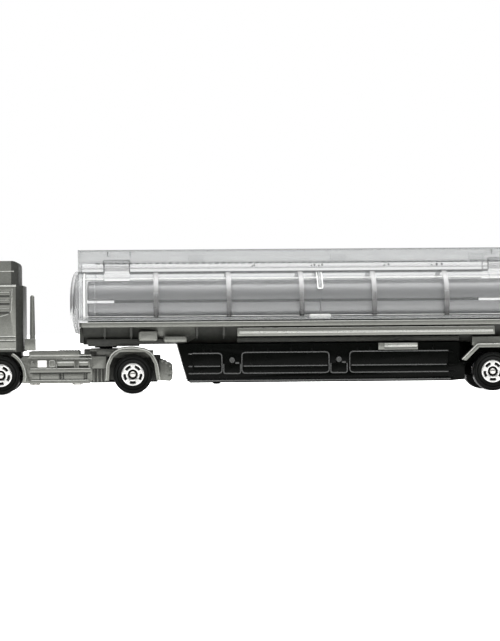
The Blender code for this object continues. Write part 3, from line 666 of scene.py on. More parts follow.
def foil_ring(name):
    """The silver ring: three insets of a disc, five slots deleted, and a wall's thickness."""
    bpy.ops.object.select_all(action="DESELECT")
    bpy.ops.mesh.primitive_circle_add(
        vertices=120, radius=RING_OUTER * MM, fill_type="NGON", location=(0, (FACE_Y + 0.1) * MM, WHEEL_RADIUS * MM),
        rotation=(math.radians(90), 0, 0))
    ring = started(name, foil)
    applied()
    open_up(ring)
    bpy.ops.mesh.select_all(action="SELECT")
    for thickness in (RING_OUTER - SLOT_OUTER, SLOT_OUTER - SLOT_INNER, SLOT_INNER - RING_INNER):
        bpy.ops.mesh.inset(thickness=thickness * MM)
    bpy.ops.mesh.delete(type="FACE")
    centre = Vector((0, 0, WHEEL_RADIUS * MM))
    slot_middle = (SLOT_OUTER + SLOT_INNER) / 2 * MM

    def in_slot(face):
        """Whether a face of the middle ring lies in one of the five slots."""
        spot = face.calc_center_median() - centre
        angle = (math.degrees(math.atan2(spot.z, spot.x)) - FIRST_SLOT + SLOT_PITCH / 2) % SLOT_PITCH
        return abs(spot.xz.length - slot_middle) < 0.1 * MM and abs(angle - SLOT_PITCH / 2) < SLOT_HALF

    pick(ring, in_slot)
    bpy.ops.mesh.delete(type="FACE")
    close_up(ring)
    modify(ring, "SOLIDIFY", thickness=0.34 * MM, offset=-1.0)
    bevelled(ring, 0.03, 60)
    return smoothed(ring, 40)


def axle_head(name):
    """The peened end of the axle: a low dome."""
    head = disc(name, 0, FACE_Y + 0.32, WHEEL_RADIUS, 0.75, 0.3, 32, plated_steel)
    stepped_cap(head, -1, [(0.05, 0.12), (0.1, 0.12), (0.14, 0.1), (0.18, 0.06), (0.16, 0.02)])
    return close_up(head, 60)


wheel_master = left_wheel("wheel_master")
ring_master = foil_ring("ring_master")
head_master = axle_head("head_master")


# %% Six wheels from one
def turned_copy(master, name, x, side):
    """A copy at an axle; the right-hand one is turned half round the upright axis."""
    only(master)
    bpy.ops.object.duplicate()
    piece = started(name)
    if side > 0:
        piece.rotation_euler.z = math.pi
    piece.location.x = x * MM
    applied()
    return piece


def middle_x(cad_node):
    """The middle of a node's box along X, in mm."""
    low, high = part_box(cad_node)
    return (low[0] + high[0]) / 2 / MM


for stem in ("front", "drive", "trailer"):
    for side_name, side in (("left", -1), ("right", 1)):
        cad_wheel = f"{stem}_wheel_{side_name}"
        axle_x = middle_x(cad_wheel)
        moulding = turned_copy(wheel_master, cad_wheel + "_moulding", axle_x, side)
        place_on(moulding, cad_wheel, "wheel_plastic", cad_wheel)
        ring = turned_copy(ring_master, cad_wheel + "_foil_ring", axle_x, side)
        place_on(ring, cad_wheel, "wheel_plastic")
        head = turned_copy(head_master, cad_wheel + "_axle_head", axle_x, side)
        place_on(head, stem + "_axle_group", "bright_steel")
for master in (wheel_master, ring_master, head_master):
    bpy.data.objects.remove(master)

# %% [markdown]
# ## The drum under the cover
# Two silver halves meet at a seam. Each is cut from one long oval barrel with the bisect operator, so the halves
# match, and the ends are rounded by a bevel.

# %% Drum halves
TANK_Z = 21.15
DRUM_HALF, DRUM_RISE = 10.3, 5.05
DRUM_FRONT, DRUM_REAR = -37.4, 66.0
DRUM_FULLNESS = 3.4
LOWER_SEAM, UPPER_SEAM = 20.95, 21.7


def fill_out(piece, fullness):
    """Turns a unit circle in Y and Z into a fuller oval, whose corners stand further out."""
    for vertex in piece.data.vertices:
        for axis in (1, 2):
            vertex.co[axis] = math.copysign(abs(vertex.co[axis]) ** (2 / fullness), vertex.co[axis])


def barrel(name, front, rear, half, rise, finish, vertices, ends, fullness):
    """An oval cylinder along X. A fullness above 2 fills the oval's corners out."""
    bpy.ops.object.select_all(action="DESELECT")
    bpy.ops.mesh.primitive_cylinder_add(
        vertices=vertices, radius=1, depth=1, end_fill_type=ends,
        location=((front + rear) / 2 * MM, 0, TANK_Z * MM), rotation=(0, math.radians(90), 0))
    piece = started(name, finish)
    bpy.ops.object.transform_apply(location=False, rotation=True, scale=False)
    fill_out(piece, fullness)
    piece.scale = ((rear - front) * MM, half * MM, rise * MM)
    applied()
    return piece


def bisect(piece, z, drop_upper, fill=False):
    """Cuts a piece at a height, drops the part above or below, and may close the cut."""
    open_up(piece)
    bpy.ops.mesh.select_all(action="SELECT")
    bpy.ops.mesh.bisect(plane_co=(0, 0, z * MM), plane_no=(0, 0, 1), clear_outer=drop_upper,
                        clear_inner=not drop_upper, threshold=1e-7, use_fill=fill)


def drum_half(name, cad_node, seam, drop_upper):
    """The drum's part below or above its seam, as a solid."""
    piece = barrel(name, DRUM_FRONT, DRUM_REAR, DRUM_HALF, DRUM_RISE, drum_silver, 128, "NGON", DRUM_FULLNESS)
    open_up(piece, "EDGE")
    ends = {round(DRUM_FRONT, 3), round(DRUM_REAR, 3)}
    pick(piece, lambda edge: all(round(v.co.x / MM, 3) in ends for v in edge.verts))
    bpy.ops.mesh.bevel(offset=0.5 * MM, segments=4, affect="EDGES")
    close_up(piece)
    bisect(piece, seam, drop_upper, fill=True)
    close_up(piece)
    bevelled(piece, 0.1, 50)
    place_on(smoothed(piece, 30), "trailer", "silver_drum", cad_node)


drum_half("drum_lower_shell", "tank_drum_lower", LOWER_SEAM, True)
drum_half("drum_upper_shell", "tank_drum_upper", UPPER_SEAM, False)

# A lip inside closes the seam, except near the ends, where light comes through; it is painted dark as the seam's shade.
lip = box("lip", (-31.2, -9.4, 19.8), (53.6, -8.9, 22.6), shaded_paint)
seam_line = [(DRUM_FRONT + 0.5, LOWER_SEAM - 0.1), (DRUM_REAR - 0.5, LOWER_SEAM - 0.1)]
pair("drum_lips", [lip, side_bead("seam_bead", seam_line, -10.2, 0.28, drum_silver)], "trailer", "silver_drum")

# %% [markdown]
# ## The clear cover
# One clear moulding hides under many names here: the barrel, the domed ends, the foot that sits on the rim, the hoops,
# and the walkway box on top. Each wall is a thin sheet that Solidify makes real.

# %% Cover barrel
COVER_HALF, COVER_RISE, COVER_FULLNESS = 11.8, 7.35, 2.3
COVER_FRONT, COVER_REAR = -39.6, 68.2
COVER_FOOT = 16.8
COVER_WALL, DOME_WALL = 0.9, 0.7
WALK_HALF, WALK_TOP, WALK_FLOOR = 5.2, 33.4, 30.3
WINDOWS = ((-33.6, -27.6), (56.4, 62.4))
WINDOW_LOW, WINDOW_TOP = 25.9, 27.6

cover = barrel("cover_barrel", COVER_FRONT, COVER_REAR, COVER_HALF, COVER_RISE, clear_ps, 160, "NOTHING",
               COVER_FULLNESS)
bisect(cover, COVER_FOOT, False)
window_cuts = [((x, 0, 0), (1, 0, 0)) for window in WINDOWS for x in window]
window_cuts += [((0, 0, z), (0, 0, 1)) for z in (WINDOW_LOW, WINDOW_TOP)]
for place_mm, across in window_cuts:
    bpy.ops.mesh.select_all(action="SELECT")
    bpy.ops.mesh.bisect(plane_co=[value * MM for value in place_mm], plane_no=across, threshold=1e-7)


def in_window(face):
    """Whether a face lies in one of the two windows."""
    spot = face.calc_center_median() / MM
    return WINDOW_LOW < spot.z < WINDOW_TOP and any(low < spot.x < high for low, high in WINDOWS)


def under_walkway(face):
    """Whether a face lies under the walkway, where the barrel is open."""
    spot = face.calc_center_median() / MM
    return abs(spot.y) < WALK_HALF - 0.4 and spot.z > TANK_Z


bpy.ops.mesh.select_all(action="DESELECT")
bpy.ops.mesh.select_mode(type="FACE")
pick(cover, lambda face: in_window(face) or under_walkway(face))
bpy.ops.mesh.delete(type="FACE")
close_up(cover)
modify(cover, "SOLIDIFY", thickness=COVER_WALL * MM, offset=-1.0, use_even_offset=True)
bevelled(cover, 0.1, 60)
place_on(smoothed(cover, 40), "trailer", "clear_cover", "tank_cover")

# %% Domed ends
DOME_DEPTH, DOME_COLLAR = 2.0, 0.45
DOME_STEPS = (12, 24, 36, 48, 60, 72, 82)  # degrees up the dome


def dome(name, x, towards):
    """A shallow oval dome, grown ring by ring from an oval disc."""
    bpy.ops.object.select_all(action="DESELECT")
    bpy.ops.mesh.primitive_circle_add(
        vertices=160, radius=1, fill_type="NGON", location=(x * MM, 0, TANK_Z * MM), rotation=(0, math.radians(90), 0))
    piece = started(name, clear_dome_painted_shade)
    bpy.ops.object.transform_apply(location=False, rotation=True, scale=False)
    fill_out(piece, COVER_FULLNESS)
    piece.scale = (1, COVER_HALF * MM, COVER_RISE * MM)
    applied()
    open_up(piece)
    bpy.ops.mesh.select_all(action="SELECT")
    bpy.ops.mesh.extrude_region_move(TRANSFORM_OT_translate={"value": (towards * DOME_COLLAR * MM, 0, 0)})
    centre = (x * MM, 0, TANK_Z * MM)
    last_size, last_out = 1.0, 0.0
    for degrees in DOME_STEPS:
        size, out = math.cos(math.radians(degrees)), math.sin(math.radians(degrees))
        step = towards * (out - last_out) * (DOME_DEPTH - DOME_COLLAR) * MM
        bpy.ops.mesh.extrude_region_move(TRANSFORM_OT_translate={"value": (step, 0, 0)})
        factor = size / last_size
        bpy.ops.transform.resize(value=(1, factor, factor), center_override=centre)
        last_size, last_out = size, out
    work = bmesh.from_edit_mesh(piece.data)
    base = [f for f in work.faces if len(f.verts) > 8 and abs(f.calc_center_median().x - x * MM) < 1e-5]
    bmesh.ops.delete(work, geom=base, context="FACES_ONLY")
    bmesh.update_edit_mesh(piece.data)
    bpy.ops.mesh.select_all(action="SELECT")
    bpy.ops.mesh.normals_make_consistent(inside=False)
    close_up(piece)
    modify(piece, "SOLIDIFY", thickness=DOME_WALL * MM, offset=-1.0)
    place_on(smoothed(piece, 50), "trailer", "clear_cover")


dome("cover_front_dome", COVER_FRONT, -1)
dome("cover_rear_dome", COVER_REAR, 1)

# %% Foot and hoops
FOOT_Y = 10.6
HOOPS = (-21.5, -4.64, 12.22, 29.08, 45.94, 62.8)

foot = [box("foot", (COVER_FRONT + 0.4, y - 1.0, COVER_FOOT), (COVER_REAR - 0.4, y + 1.0, COVER_FOOT + 0.8), clear_rib)
        for y in (-FOOT_Y, FOOT_Y)]
place_on(joined("cover_foot", foot), "trailer", "clear_cover")


def hoop_band(name, x, width, finish, proud=0.2, thick=0.25):
    """A band round the barrel, from the foot up to the walkway."""
    half, rise = COVER_HALF + proud, COVER_RISE + proud
    hoop = barrel(name, x - width / 2, x + width / 2, half, rise, finish, 128, "NOTHING", COVER_FULLNESS)
    bisect(hoop, COVER_FOOT + 0.3, False)
    open_up(hoop)
    pick(hoop, under_walkway)
    bpy.ops.mesh.delete(type="FACE")
    close_up(hoop)
    modify(hoop, "SOLIDIFY", thickness=thick * MM, offset=-1.0)
    bevelled(hoop, 0.08, 60)
    return smoothed(hoop, 40)


hoops = []
for x in HOOPS:
    hoops.append(hoop_band("hoop", x, 1.15, hoop_painted_reflection))
    for shift in (-0.3, 0.3):
        hoops.append(hoop_band("hoop_edge", x + shift, 0.14, hoop_painted_reflection, 0.28, 0.2))
place_on(joined("cover_hoops", hoops), "trailer", "clear_cover")

# %% Rings of painted highlight and painted shade where the barrel meets its ends
ends = []
for x, towards in ((COVER_FRONT, 1), (COVER_REAR, -1)):
    for name, inwards, width, finish, thick in (
        ("end_ring", 1.5, 0.35, clear_painted_highlight, 0.5),
        ("end_band", 0.7, 0.8, clear_rib, 0.4),
        ("end_line", 0.12, 0.2, clear_painted_shade, 0.4),
        ("step_line", 4.0, 0.12, clear_rib, 0.2),
    ):
        ends.append(hoop_band(name, x + towards * inwards, width, finish, 0.05, thick))
place_on(joined("cover_end_rings", ends), "trailer", "clear_cover")

# %% [markdown]
# ## Walkway
# The walkway is a long tray on top of the barrel. Each guard wall has a thick upper part and a thin lower part with
# ledges between them; the crease is where the wall dives into the barrel. Small blocks of tread run along it. The
# crease, the treads and the tops of the walls are painted shade, and the shoulder below the crease a painted highlight.

# %% Walkway tray
GUARD_Y = -WALK_HALF
GUARD_STEP = 30.5  # where the thick upper wall meets the thin lower wall
CREASE_TOP = 28.3
TREADS = 64


def guard_strip(name, inset, y_low, y_high, z_low, z_high, finish, edge):
    """A strip along the left guard wall, its Y counted from the wall's outer face."""
    low = (COVER_FRONT + inset, GUARD_Y + y_low, z_low)
    return box(name, low, (COVER_REAR - inset, GUARD_Y + y_high, z_high), finish, edge)


walk = [guard_strip(*strip) for strip in (
    ("guard_upper", 0.0, 0.0, 0.8, GUARD_STEP, WALK_TOP - 0.12, clear_rib, 0.12),
    ("guard_lower", 0.0, 0.0, 0.8, CREASE_TOP, GUARD_STEP, clear_ps, 0.05),
    ("guard_top", 0.0, 0.1, 0.7, WALK_TOP - 0.25, WALK_TOP, clear_painted_shade, 0.08),
    ("ledge", 0.2, -0.25, 0.1, 29.1, 29.3, clear_rib, 0.06),
    ("ledge", 0.2, -0.2, 0.1, 30.35, 30.55, clear_rib, 0.06),
)]
crease_ends = [COVER_FRONT + 0.3, *WINDOWS[0], *WINDOWS[1], COVER_REAR - 0.3]
for x_low, x_high in zip(crease_ends[::2], crease_ends[1::2]):
    walk.append(box("crease", (x_low, GUARD_Y - 0.35, 27.85), (x_high, GUARD_Y + 0.5, CREASE_TOP), clear_painted_shade))
    walk.append(box("shoulder", (x_low, -8.2, 26.4), (x_high, -7.6, 26.7), clear_painted_highlight, 0.1))
for i in range(TREADS):
    x = COVER_FRONT + 4.0 + i * (COVER_REAR - COVER_FRONT - 8.0) / TREADS
    walk.append(box("tread", (x, GUARD_Y + 0.8, 30.1), (x + 0.95, GUARD_Y + 2.6, GUARD_STEP), clear_painted_shade, 0.06, 1))
pair("walkway_guards", walk, "trailer", "clear_cover")

deck_half = WALK_HALF - 0.8
deck_low = (COVER_FRONT + 0.8, -deck_half, WALK_FLOOR - 0.9)
middle = [box("deck", deck_low, (COVER_REAR - 0.8, deck_half, WALK_FLOOR - 0.2), clear_ps, 0.1)]
for x in (COVER_FRONT + 0.4, COVER_REAR - 0.4):
    middle.append(box("end_wall", (x - 0.4, -deck_half, 28.0), (x + 0.4, deck_half, WALK_TOP), clear_rib))
for x in (-12.0, 21.5, 54.3):
    hatch = disc("hatch", x, 0, 0, 1.9, 2.0, 48, clear_rib)
    hatch.rotation_euler.x = math.radians(90)
    hatch.location.z = (WALK_FLOOR + 0.9) * MM
    stepped_cap(hatch, -1, [(0.2, 0.0), (0.1, -0.15), (0.9, 0.0), (0.1, 0.2)])
    middle.append(close_up(hatch, 40))
place_on(joined("walkway_deck", middle), "trailer", "clear_cover")

# %% Ribbed frames over the two windows, and the ticks above them
# The ribs, posts and ticks are dark lines of painted shade.
FRAME_Y = GUARD_Y - 0.3
frames = []
for low_x, high_x in WINDOWS:
    for z in (28.75, 29.5, 30.2, 30.9):
        frames.append(box("rib", (low_x, FRAME_Y, z - 0.06), (high_x, GUARD_Y + 0.1, z + 0.06), clear_painted_shade, 0.04))
    for x in (low_x, high_x):
        frames.append(box("post", (x - 0.1, FRAME_Y, 28.2), (x + 0.1, GUARD_Y + 0.1, 30.95), clear_painted_shade, 0.05))
    for x in (low_x + 0.9, high_x + 0.2):
        low = (x - 0.1, GUARD_Y - 0.12, 31.9)
        frames.append(box("tick", low, (x + 0.1, GUARD_Y + 0.2, 32.9), clear_painted_shade, 0.05))
pair("window_frames", frames, "trailer", "clear_cover")


# %% Small bosses, the post and lug in the middle, and the lines of painted highlight and shade above the foot
def cover_y(z):
    """Where the barrel's left side stands at a height."""
    level = abs(z - TANK_Z) / COVER_RISE
    return -COVER_HALF * max(0.0, 1 - level**COVER_FULLNESS) ** (1 / COVER_FULLNESS)


POST_FRONT, POST_REAR = 16.0, 17.1
POST_MIDDLE = (POST_FRONT + POST_REAR) / 2
POST_FOOT, POST_STEPS = 24.2, 10
LUG_Z = 17.6

details = []
# The post's walls and foot and the lug are painted highlights; the bosses, notch and stalk are painted shade.
for x in (1.5, 15.6, 17.4, 33.0, 44.3, 45.5):
    boss = disc("boss", x, GUARD_Y - 0.1, 29.6, 0.24, 0.3, 16, clear_painted_shade)
    stepped_cap(boss, -1, [(0.08, 0.06)])
    details.append(close_up(boss, 40))
notch = arc_points(POST_MIDDLE, 21.3, 0.45, range(0, 181, 20))
details.append(side_bead("notch", notch, cover_y(21.4) - 0.05, 0.18, clear_painted_shade))
foot_hook = [(POST_FRONT, 24.4), (POST_FRONT, 24.05), (POST_REAR, 24.05), (POST_REAR, 24.4)]
details.append(side_bead("post_foot", foot_hook, cover_y(POST_FOOT) - 0.1, 0.3, clear_painted_highlight, 0.3))
post_heights = [POST_FOOT + 0.4 * i for i in range(POST_STEPS)]
for x in (POST_FRONT, POST_REAR):
    details.append(bead("post_wall", [(x, cover_y(z) - 0.1, z) for z in post_heights], 0.3, clear_painted_highlight))
details.append(bead("post_core", [(POST_MIDDLE, cover_y(z) + 0.1, z) for z in post_heights], 0.7, clear_rib))
lug_y = cover_y(LUG_Z)
lug_low, lug_high = (14.0, lug_y - 0.35, LUG_Z - 0.5), (19.0, lug_y + 0.4, LUG_Z + 0.5)
details.append(panel("lug", lug_low, lug_high, clear_painted_highlight, 0.45, 0.15))
details.append(bead("stalk", [(16.5, cover_y(z), z) for z in (18.0, 19.0, 20.0, 21.0)], 0.2, clear_painted_shade))
for z, finish, thick in ((17.85, clear_painted_highlight, 0.16), (17.45, clear_painted_shade, 0.3), (17.0, clear_painted_highlight, 0.16)):
    foot_ends = [(COVER_FRONT + 1.8, z), (COVER_REAR - 1.8, z)]
    details.append(side_bead("foot_line", foot_ends, cover_y(z), thick, finish))
pair("cover_details", details, "trailer", "clear_cover")

# %% [markdown]
# ## Black side boxes
# Each side box is a pair of raised panels inside a rounded frame of beads, and a long bead runs along the foot. Most
# beads are a lighter grey with more shine, a painted highlight on the black. The frames are modelled once on the left
# and mirrored, so both sides match.

# %% Frames and panels of the side boxes
SIDE_BOXES = ((-13.2, -6.4, 9.2, "front"), (-1.8, 18.4, 9.35, "middle"), (23.2, 46.1, 9.4, "rear"))
UNITS_BETWEEN = ((-6.0, -2.1), (18.8, 22.6))
BOX_FOOT, BOX_SHELF = 4.55, 6.2
BOX_BEAD = 0.28
FOOT_LINE_Z = 2.85
SKIRT = -SKIRT_Y

parts = []
for x_low, x_high, top, place in SIDE_BOXES:
    foot_front, foot_rear, top_rear, top_front = (x_low, BOX_FOOT), (x_high, BOX_FOOT), (x_high, top), (x_low, top)
    # The ribs of the end boxes run on round the skirt's corners, so their frames stay open at that end.
    outline = [foot_front, foot_rear, top_rear, top_front]
    if place != "front":
        outline = [top_rear, top_front, foot_front, foot_rear]
    parts.append(side_bead("frame", outline, SKIRT - 0.42, BOX_BEAD, highlight_black_abs, 0.9, place == "middle"))
    shelf = [(x_low + 0.4, BOX_SHELF), (x_high - 0.4, BOX_SHELF)]
    parts.append(side_bead("shelf", shelf, SKIRT - 0.38, BOX_BEAD, highlight_black_abs))
    for low_z, high_z, corner in ((BOX_SHELF, top, 0.8), (BOX_FOOT, BOX_SHELF, 0.5)):
        low, high = (x_low + 0.1, SKIRT - 0.4, low_z), (x_high - 0.1, SKIRT + 0.3, high_z)
        parts.append(panel("box_panel", low, high, black_abs, corner, 0.1))
for x_low, x_high in UNITS_BETWEEN:
    outline = [(x_low, 6.7), (x_low, 4.5), (x_high, 4.5), (x_high, 6.7)]
    parts.append(side_bead("unit_frame", outline, SKIRT - 0.3, 0.3, highlight_black_abs, 0.5))
    parts.append(panel("unit_panel", (x_low, SKIRT - 0.3, 4.5), (x_high, SKIRT + 0.3, 6.7), black_abs, 0.4, 0.1))
    knob_x = (x_low + x_high) / 2
    knob = disc("knob", knob_x, SKIRT - 0.2, 7.6, 0.62, 0.6, 28, highlight_black_abs)
    stepped_cap(knob, -1, [(0.1, 0.1), (0.15, 0.0), (0.08, -0.15), (0.12, 0.0), (0.05, 0.15)])
    parts.append(close_up(knob, 40))
    parts.append(box("knob_neck", (knob_x - 0.3, SKIRT - 0.3, 6.6), (knob_x + 0.3, SKIRT + 0.2, 9.0), black_abs))
    parts.append(box("latch", (x_high - 1.2, SKIRT - 0.35, 6.75), (x_high - 0.3, SKIRT + 0.2, 7.15), highlight_black_abs, 0.1))
parts.append(side_bead("foot_bead", [(-13.3, FOOT_LINE_Z), (46.6, FOOT_LINE_Z)], SKIRT - 0.45, 0.34, highlight_black_abs))
for z in (FOOT_LINE_Z, BOX_FOOT, BOX_SHELF, 9.1):
    lean = (z - 4) * 0.2
    front_corner = [(-13.25, SKIRT - 0.25, z), (-14.1, SKIRT + 0.15, z), (-14.6 - lean, SKIRT + 0.9, z)]
    rear_corner = [(46.2, SKIRT - 0.3, z), (47.4, SKIRT, z), (48.2, SKIRT + 0.8, z)]
    parts.append(bead("corner_bead", front_corner, 0.34, highlight_black_abs))
    parts.append(bead("corner_bead", rear_corner, 0.3, black_abs))
for x in (-10.6, -8.9, 0.9, 4.3, 9.6, 14.4, 25.0, 28.0, 42.5):
    parts.append(box("strut", (x - 0.2, SKIRT - 0.15, 9.3), (x + 0.2, SKIRT + 0.2, 10.9), black_abs, 0.08))
parts.append(box("foot_bump", (-8.5, SKIRT - 0.1, 2.1), (-6.8, SKIRT + 0.9, 2.7), black_abs, 0.2))
pair("skirt_boxes", parts, "trailer", "black_plastic")

# %% Tray rail with its painted highlight, rounded blocks and rim line
RAIL_Y = -12.2
# The rail's beads and the rim line are painted highlights.
parts = [side_bead("rail_highlight", [(-2.3, 13.95), (56.5, 13.95)], RAIL_Y, 0.62, highlight_silver_paint)]
parts.append(side_bead("rail_lip", [(-2.6, 14.95), (56.7, 14.95)], RAIL_Y, 0.2, highlight_silver_paint))
parts.append(panel("tray_box", (-25.6, -12.0, 12.1), (-21.2, -9.0, 14.5), silver_paint, 0.55, 0.5))
parts.append(panel("tray_bar", (-19.9, -11.6, 11.75), (-14.4, -8.6, 13.25), silver_paint, 0.6, 0.55))
parts.append(side_bead("rim_line", [(DRUM_FRONT, 16.45), (DRUM_REAR + 1.0, 16.45)], -12.3, 0.24, highlight_silver_paint))
pair("tray_side_details", parts, "trailer", "silver_casting")

# %% Ribs and ledges under the tray, in painted shade
# The ledges, nose and webs take the darker painted shade, and the strip along the hull the lighter one.
parts = [box(*row) for row in (
    ("ledge", (-37.6, -9.9, 11.45), (-14.8, -8.2, 12.7), shaded_paint, 0.15),
    ("front_ledge", (-37.3, -9.8, 11.0), (-25.4, -8.3, 11.6), shaded_paint, 0.12),
    ("hull_strip", (-2.8, -10.0, 11.6), (48.8, -8.6, 12.8), shade_silver_paint, 0.2),
    ("nose", (-39.2, -9.6, 11.7), (-38.2, 0.0, 15.4), shaded_paint, 0.3),
)]
for x in UNDERSIDE_RIBS:
    parts.append(box("web", (x - 0.12, -11.3, 12.6), (x + 0.12, -8.6, 15.4), shaded_paint, 0.05))
pair("tray_underside_ribs", parts, "trailer", "silver_casting")

# %% Valve box: pin, lid and slot
pin = disc("valve_pin", 30.5, -12.25, 10.7, 0.55, 0.3, 24, silver_paint)
stepped_cap(pin, -1, [(0.08, 0.06), (0.22, 0.0), (0.04, -0.12)])
parts = [close_up(pin, 40)]
# The lid is a painted highlight, and the slot a dark strip of painted shade.
parts.append(panel("valve_lid", (31.2, -12.5, 10.35), (38.9, -12.2, 11.2), highlight_silver_paint, 0.25, 0.12))
parts.append(box("valve_slot", (31.2, -12.34, 9.95), (38.8, -12.0, 10.15), dark_plastic, 0.04))
pair("valve_box_details", parts, "trailer", "silver_casting")

# %% [markdown]
# ## Cab details
# The die cuts shallow relief into the cab: louvres behind the window, mouldings low on the side, the door's outline,
# its handle and the crease of the roof fairing. Raised forms are panels and beads; grooves are beads painted dark as
# their shade, and lighter beads are painted highlights.

# %% Cab sides
CAB_Y = -11.6
CAB_SIDE_FRONT, CAB_BEND, CAB_SIDE_REAR = -68.0, -60.0, -53.9

parts = []
# Under each louvre runs a line of painted shadow, and over it a painted highlight; the louvre frame is a painted
# highlight.
for z in (19.6, 21.6, 23.4):
    low, high = (-58.2, CAB_Y - 0.22, z - 0.5), (-55.1, CAB_Y + 0.2, z + 0.3)
    parts.append(panel("louvre", low, high, silver_paint, 0.2, 0.15))
    for x_low, x_high, lift, y, thick, finish in (
        (-58.1, -55.2, -0.62, CAB_Y - 0.1, 0.55, shaded_paint),
        (-58.0, -55.3, 0.28, CAB_Y - 0.12, 0.2, highlight_silver_paint),
    ):
        parts.append(side_bead("louvre_line", [(x_low, z + lift), (x_high, z + lift)], y, thick, finish))
louvre_frame = [(-59.0, 17.7), (-55.6, 18.6), (-54.8, 19.4), (-54.6, 24.5)]
parts.append(side_bead("louvre_frame", louvre_frame, CAB_Y - 0.02, 0.26, highlight_silver_paint, 0.5))
# Each moulding is a painted highlight with a line of painted shadow below it.
for z_front, z_rear, thickness in ((13.0, 13.5, 0.34), (12.2, 12.6, 0.22), (10.5, 10.6, 0.34)):
    for drop, y, thick, finish in (
        (0.0, CAB_Y - 0.05, thickness, highlight_silver_paint),
        (0.32, CAB_Y + 0.02, 0.2, shaded_paint),
    ):
        line = [(CAB_SIDE_FRONT, z_front - drop), (CAB_BEND, z_rear - drop), (CAB_SIDE_REAR, z_rear - drop)]
        parts.append(side_bead("moulding", line, y, thick, finish, 0.6))
# The door gap, the window seal and the step line are painted shade.
door = [(-59.6, 24.4), (-59.2, 24.0), (-59.2, 13.6), (-59.6, 11.2), (-66.6, 11.2), (-67.2, 12.2), (-67.2, 17.2),
        (-65.6, 24.4)]
parts.append(side_bead("door_gap", door, CAB_Y + 0.02, 0.14, shaded_paint, 0.4, True))
window = [(-59.7, 17.5), (-67.3, 17.5), (-65.7, 24.0), (-59.7, 24.0)]
parts.append(side_bead("window_seal", window, CAB_Y - 0.02, 0.22, shaded_paint, 0.5, True))
parts.append(panel("door_handle", (-61.6, CAB_Y - 0.35, 15.0), (-60.2, CAB_Y + 0.1, 15.5), silver_paint, 0.2, 0.1))
parts.append(side_bead("step_line", [(-67.0, 10.0), (CAB_SIDE_REAR, 10.0)], CAB_Y, 0.2, shaded_paint))
pair("cab_side_details", parts, "tractor", "silver_casting")

# %% Roof fairing
# The ledge, crease and edge are painted highlights, and the gap a line of painted shade.
parts = [side_bead(*row) for row in (
    ("roof_ledge", [(-66.8, 25.15), (-53.7, 25.15)], CAB_Y + 0.1, 0.5, highlight_silver_paint),
    ("roof_gap", [(-66.6, 25.5), (-54.0, 25.5)], -11.02, 0.16, shaded_paint),
    ("roof_crease", [(-65.2, 27.4), (-59.0, 28.5), (-54.2, 28.5)], -11.0, 0.24, highlight_silver_paint, 0.6),
    ("roof_edge", [(-60.3, 30.6), (-54.8, 30.6)], -10.75, 0.3, highlight_silver_paint),
)]
pair("fairing_details", parts, "tractor", "silver_casting")

# %% Cab front: grille bars, blank plate, screen surround and wipers
CAB_FACE = -69.6
GRILLE_BARS, GRILLE_FOOT, GRILLE_PITCH = 5, 11.35, 1.08
SCREEN_LEAN = 0.25

front = []
for i in range(GRILLE_BARS):
    z = GRILLE_FOOT + GRILLE_PITCH * i
    low, high = (CAB_FACE - 0.55, -7.1, z - 0.14), (CAB_FACE + 0.05, 7.1, z + 0.14)
    front.append(box("grille_bar", low, high, silver_paint, 0.08))
# The crossbar, blank plate and bumper lip are painted highlights, and the screen surround painted shade.
front.append(box("grille_crossbar", (CAB_FACE - 0.6, -7.3, 16.0), (CAB_FACE + 0.3, 7.3, 16.6), highlight_silver_paint, 0.15))
front.append(box("blank_plate", (-70.45, -2.6, 5.0), (-69.9, 2.6, 7.0), highlight_silver_paint))
front.append(box("bumper_lip", (-70.4, -8.0, 8.5), (-69.8, 8.0, 8.9), highlight_silver_paint))
screen = rounded([(-9.5, 17.4), (9.5, 17.4), (9.2, 24.1), (-9.2, 24.1)], 0.8, True)
surround = [(CAB_FACE - 0.02 + max(0.0, z - 17.0) * SCREEN_LEAN, y, z) for y, z in screen]
front.append(bead("screen_surround", surround, 0.3, shaded_paint, True))
for y in (-6.0, 1.0):
    wiper = [(CAB_FACE + 0.05, y + 4.2, 17.7), (CAB_FACE + 0.2, y + 2.0, 18.4), (CAB_FACE + 0.3, y - 2.2, 18.9)]
    front.append(bead("wiper", wiper, 0.22, dark_plastic))
place_on(joined("cab_front_details", front), "tractor", "silver_casting")


# %% Lamps in the front bumper
def faced_along_x(piece, x, y, z):
    """Turns a disc to face along X and puts it in its place."""
    piece.rotation_euler.z = math.radians(90)
    piece.location = (x * MM, y * MM, z * MM)
    applied()
    return piece


lamps = [box("headlamp", (-70.15, -8.9, 5.5), (-69.5, -5.9, 7.3), lamp_lens, 0.2)]
for y in (-8.1, -6.7):
    lamps.append(faced_along_x(disc("reflector", 0, 0, 0, 0.55, 0.2, 24, foil), -69.75, y, 6.4))
lamps.append(box("corner_lamp", (-70.0, -10.4, 7.9), (-69.0, -8.9, 8.4), red_lens, 0.1))
pair("headlamps", lamps, "tractor", "window_plastic")

# %% [markdown]
# ## Tractor frame details
# Tanks, boxes and straps hang on the sides of the frame, and narrow treads run along the rear half of the deck.

# %% Side of the tractor frame
UNIT_Y = -11.2
UNIT_REAR = -36.7
DECK_TREADS, DECK_TREAD_PITCH = 14, 0.7

# The polished cap is near white as a painted reflection.
parts = [panel("polished_cap", (-48.9, UNIT_Y - 0.15, 6.3), (-46.8, UNIT_Y + 0.6, 7.9), cap_painted_reflection, 0.15, 0.1)]
parts.append(panel("small_box", (-46.2, UNIT_Y - 0.05, 6.4), (-44.9, UNIT_Y + 0.9, 7.8), silver_paint, 0.2, 0.12))
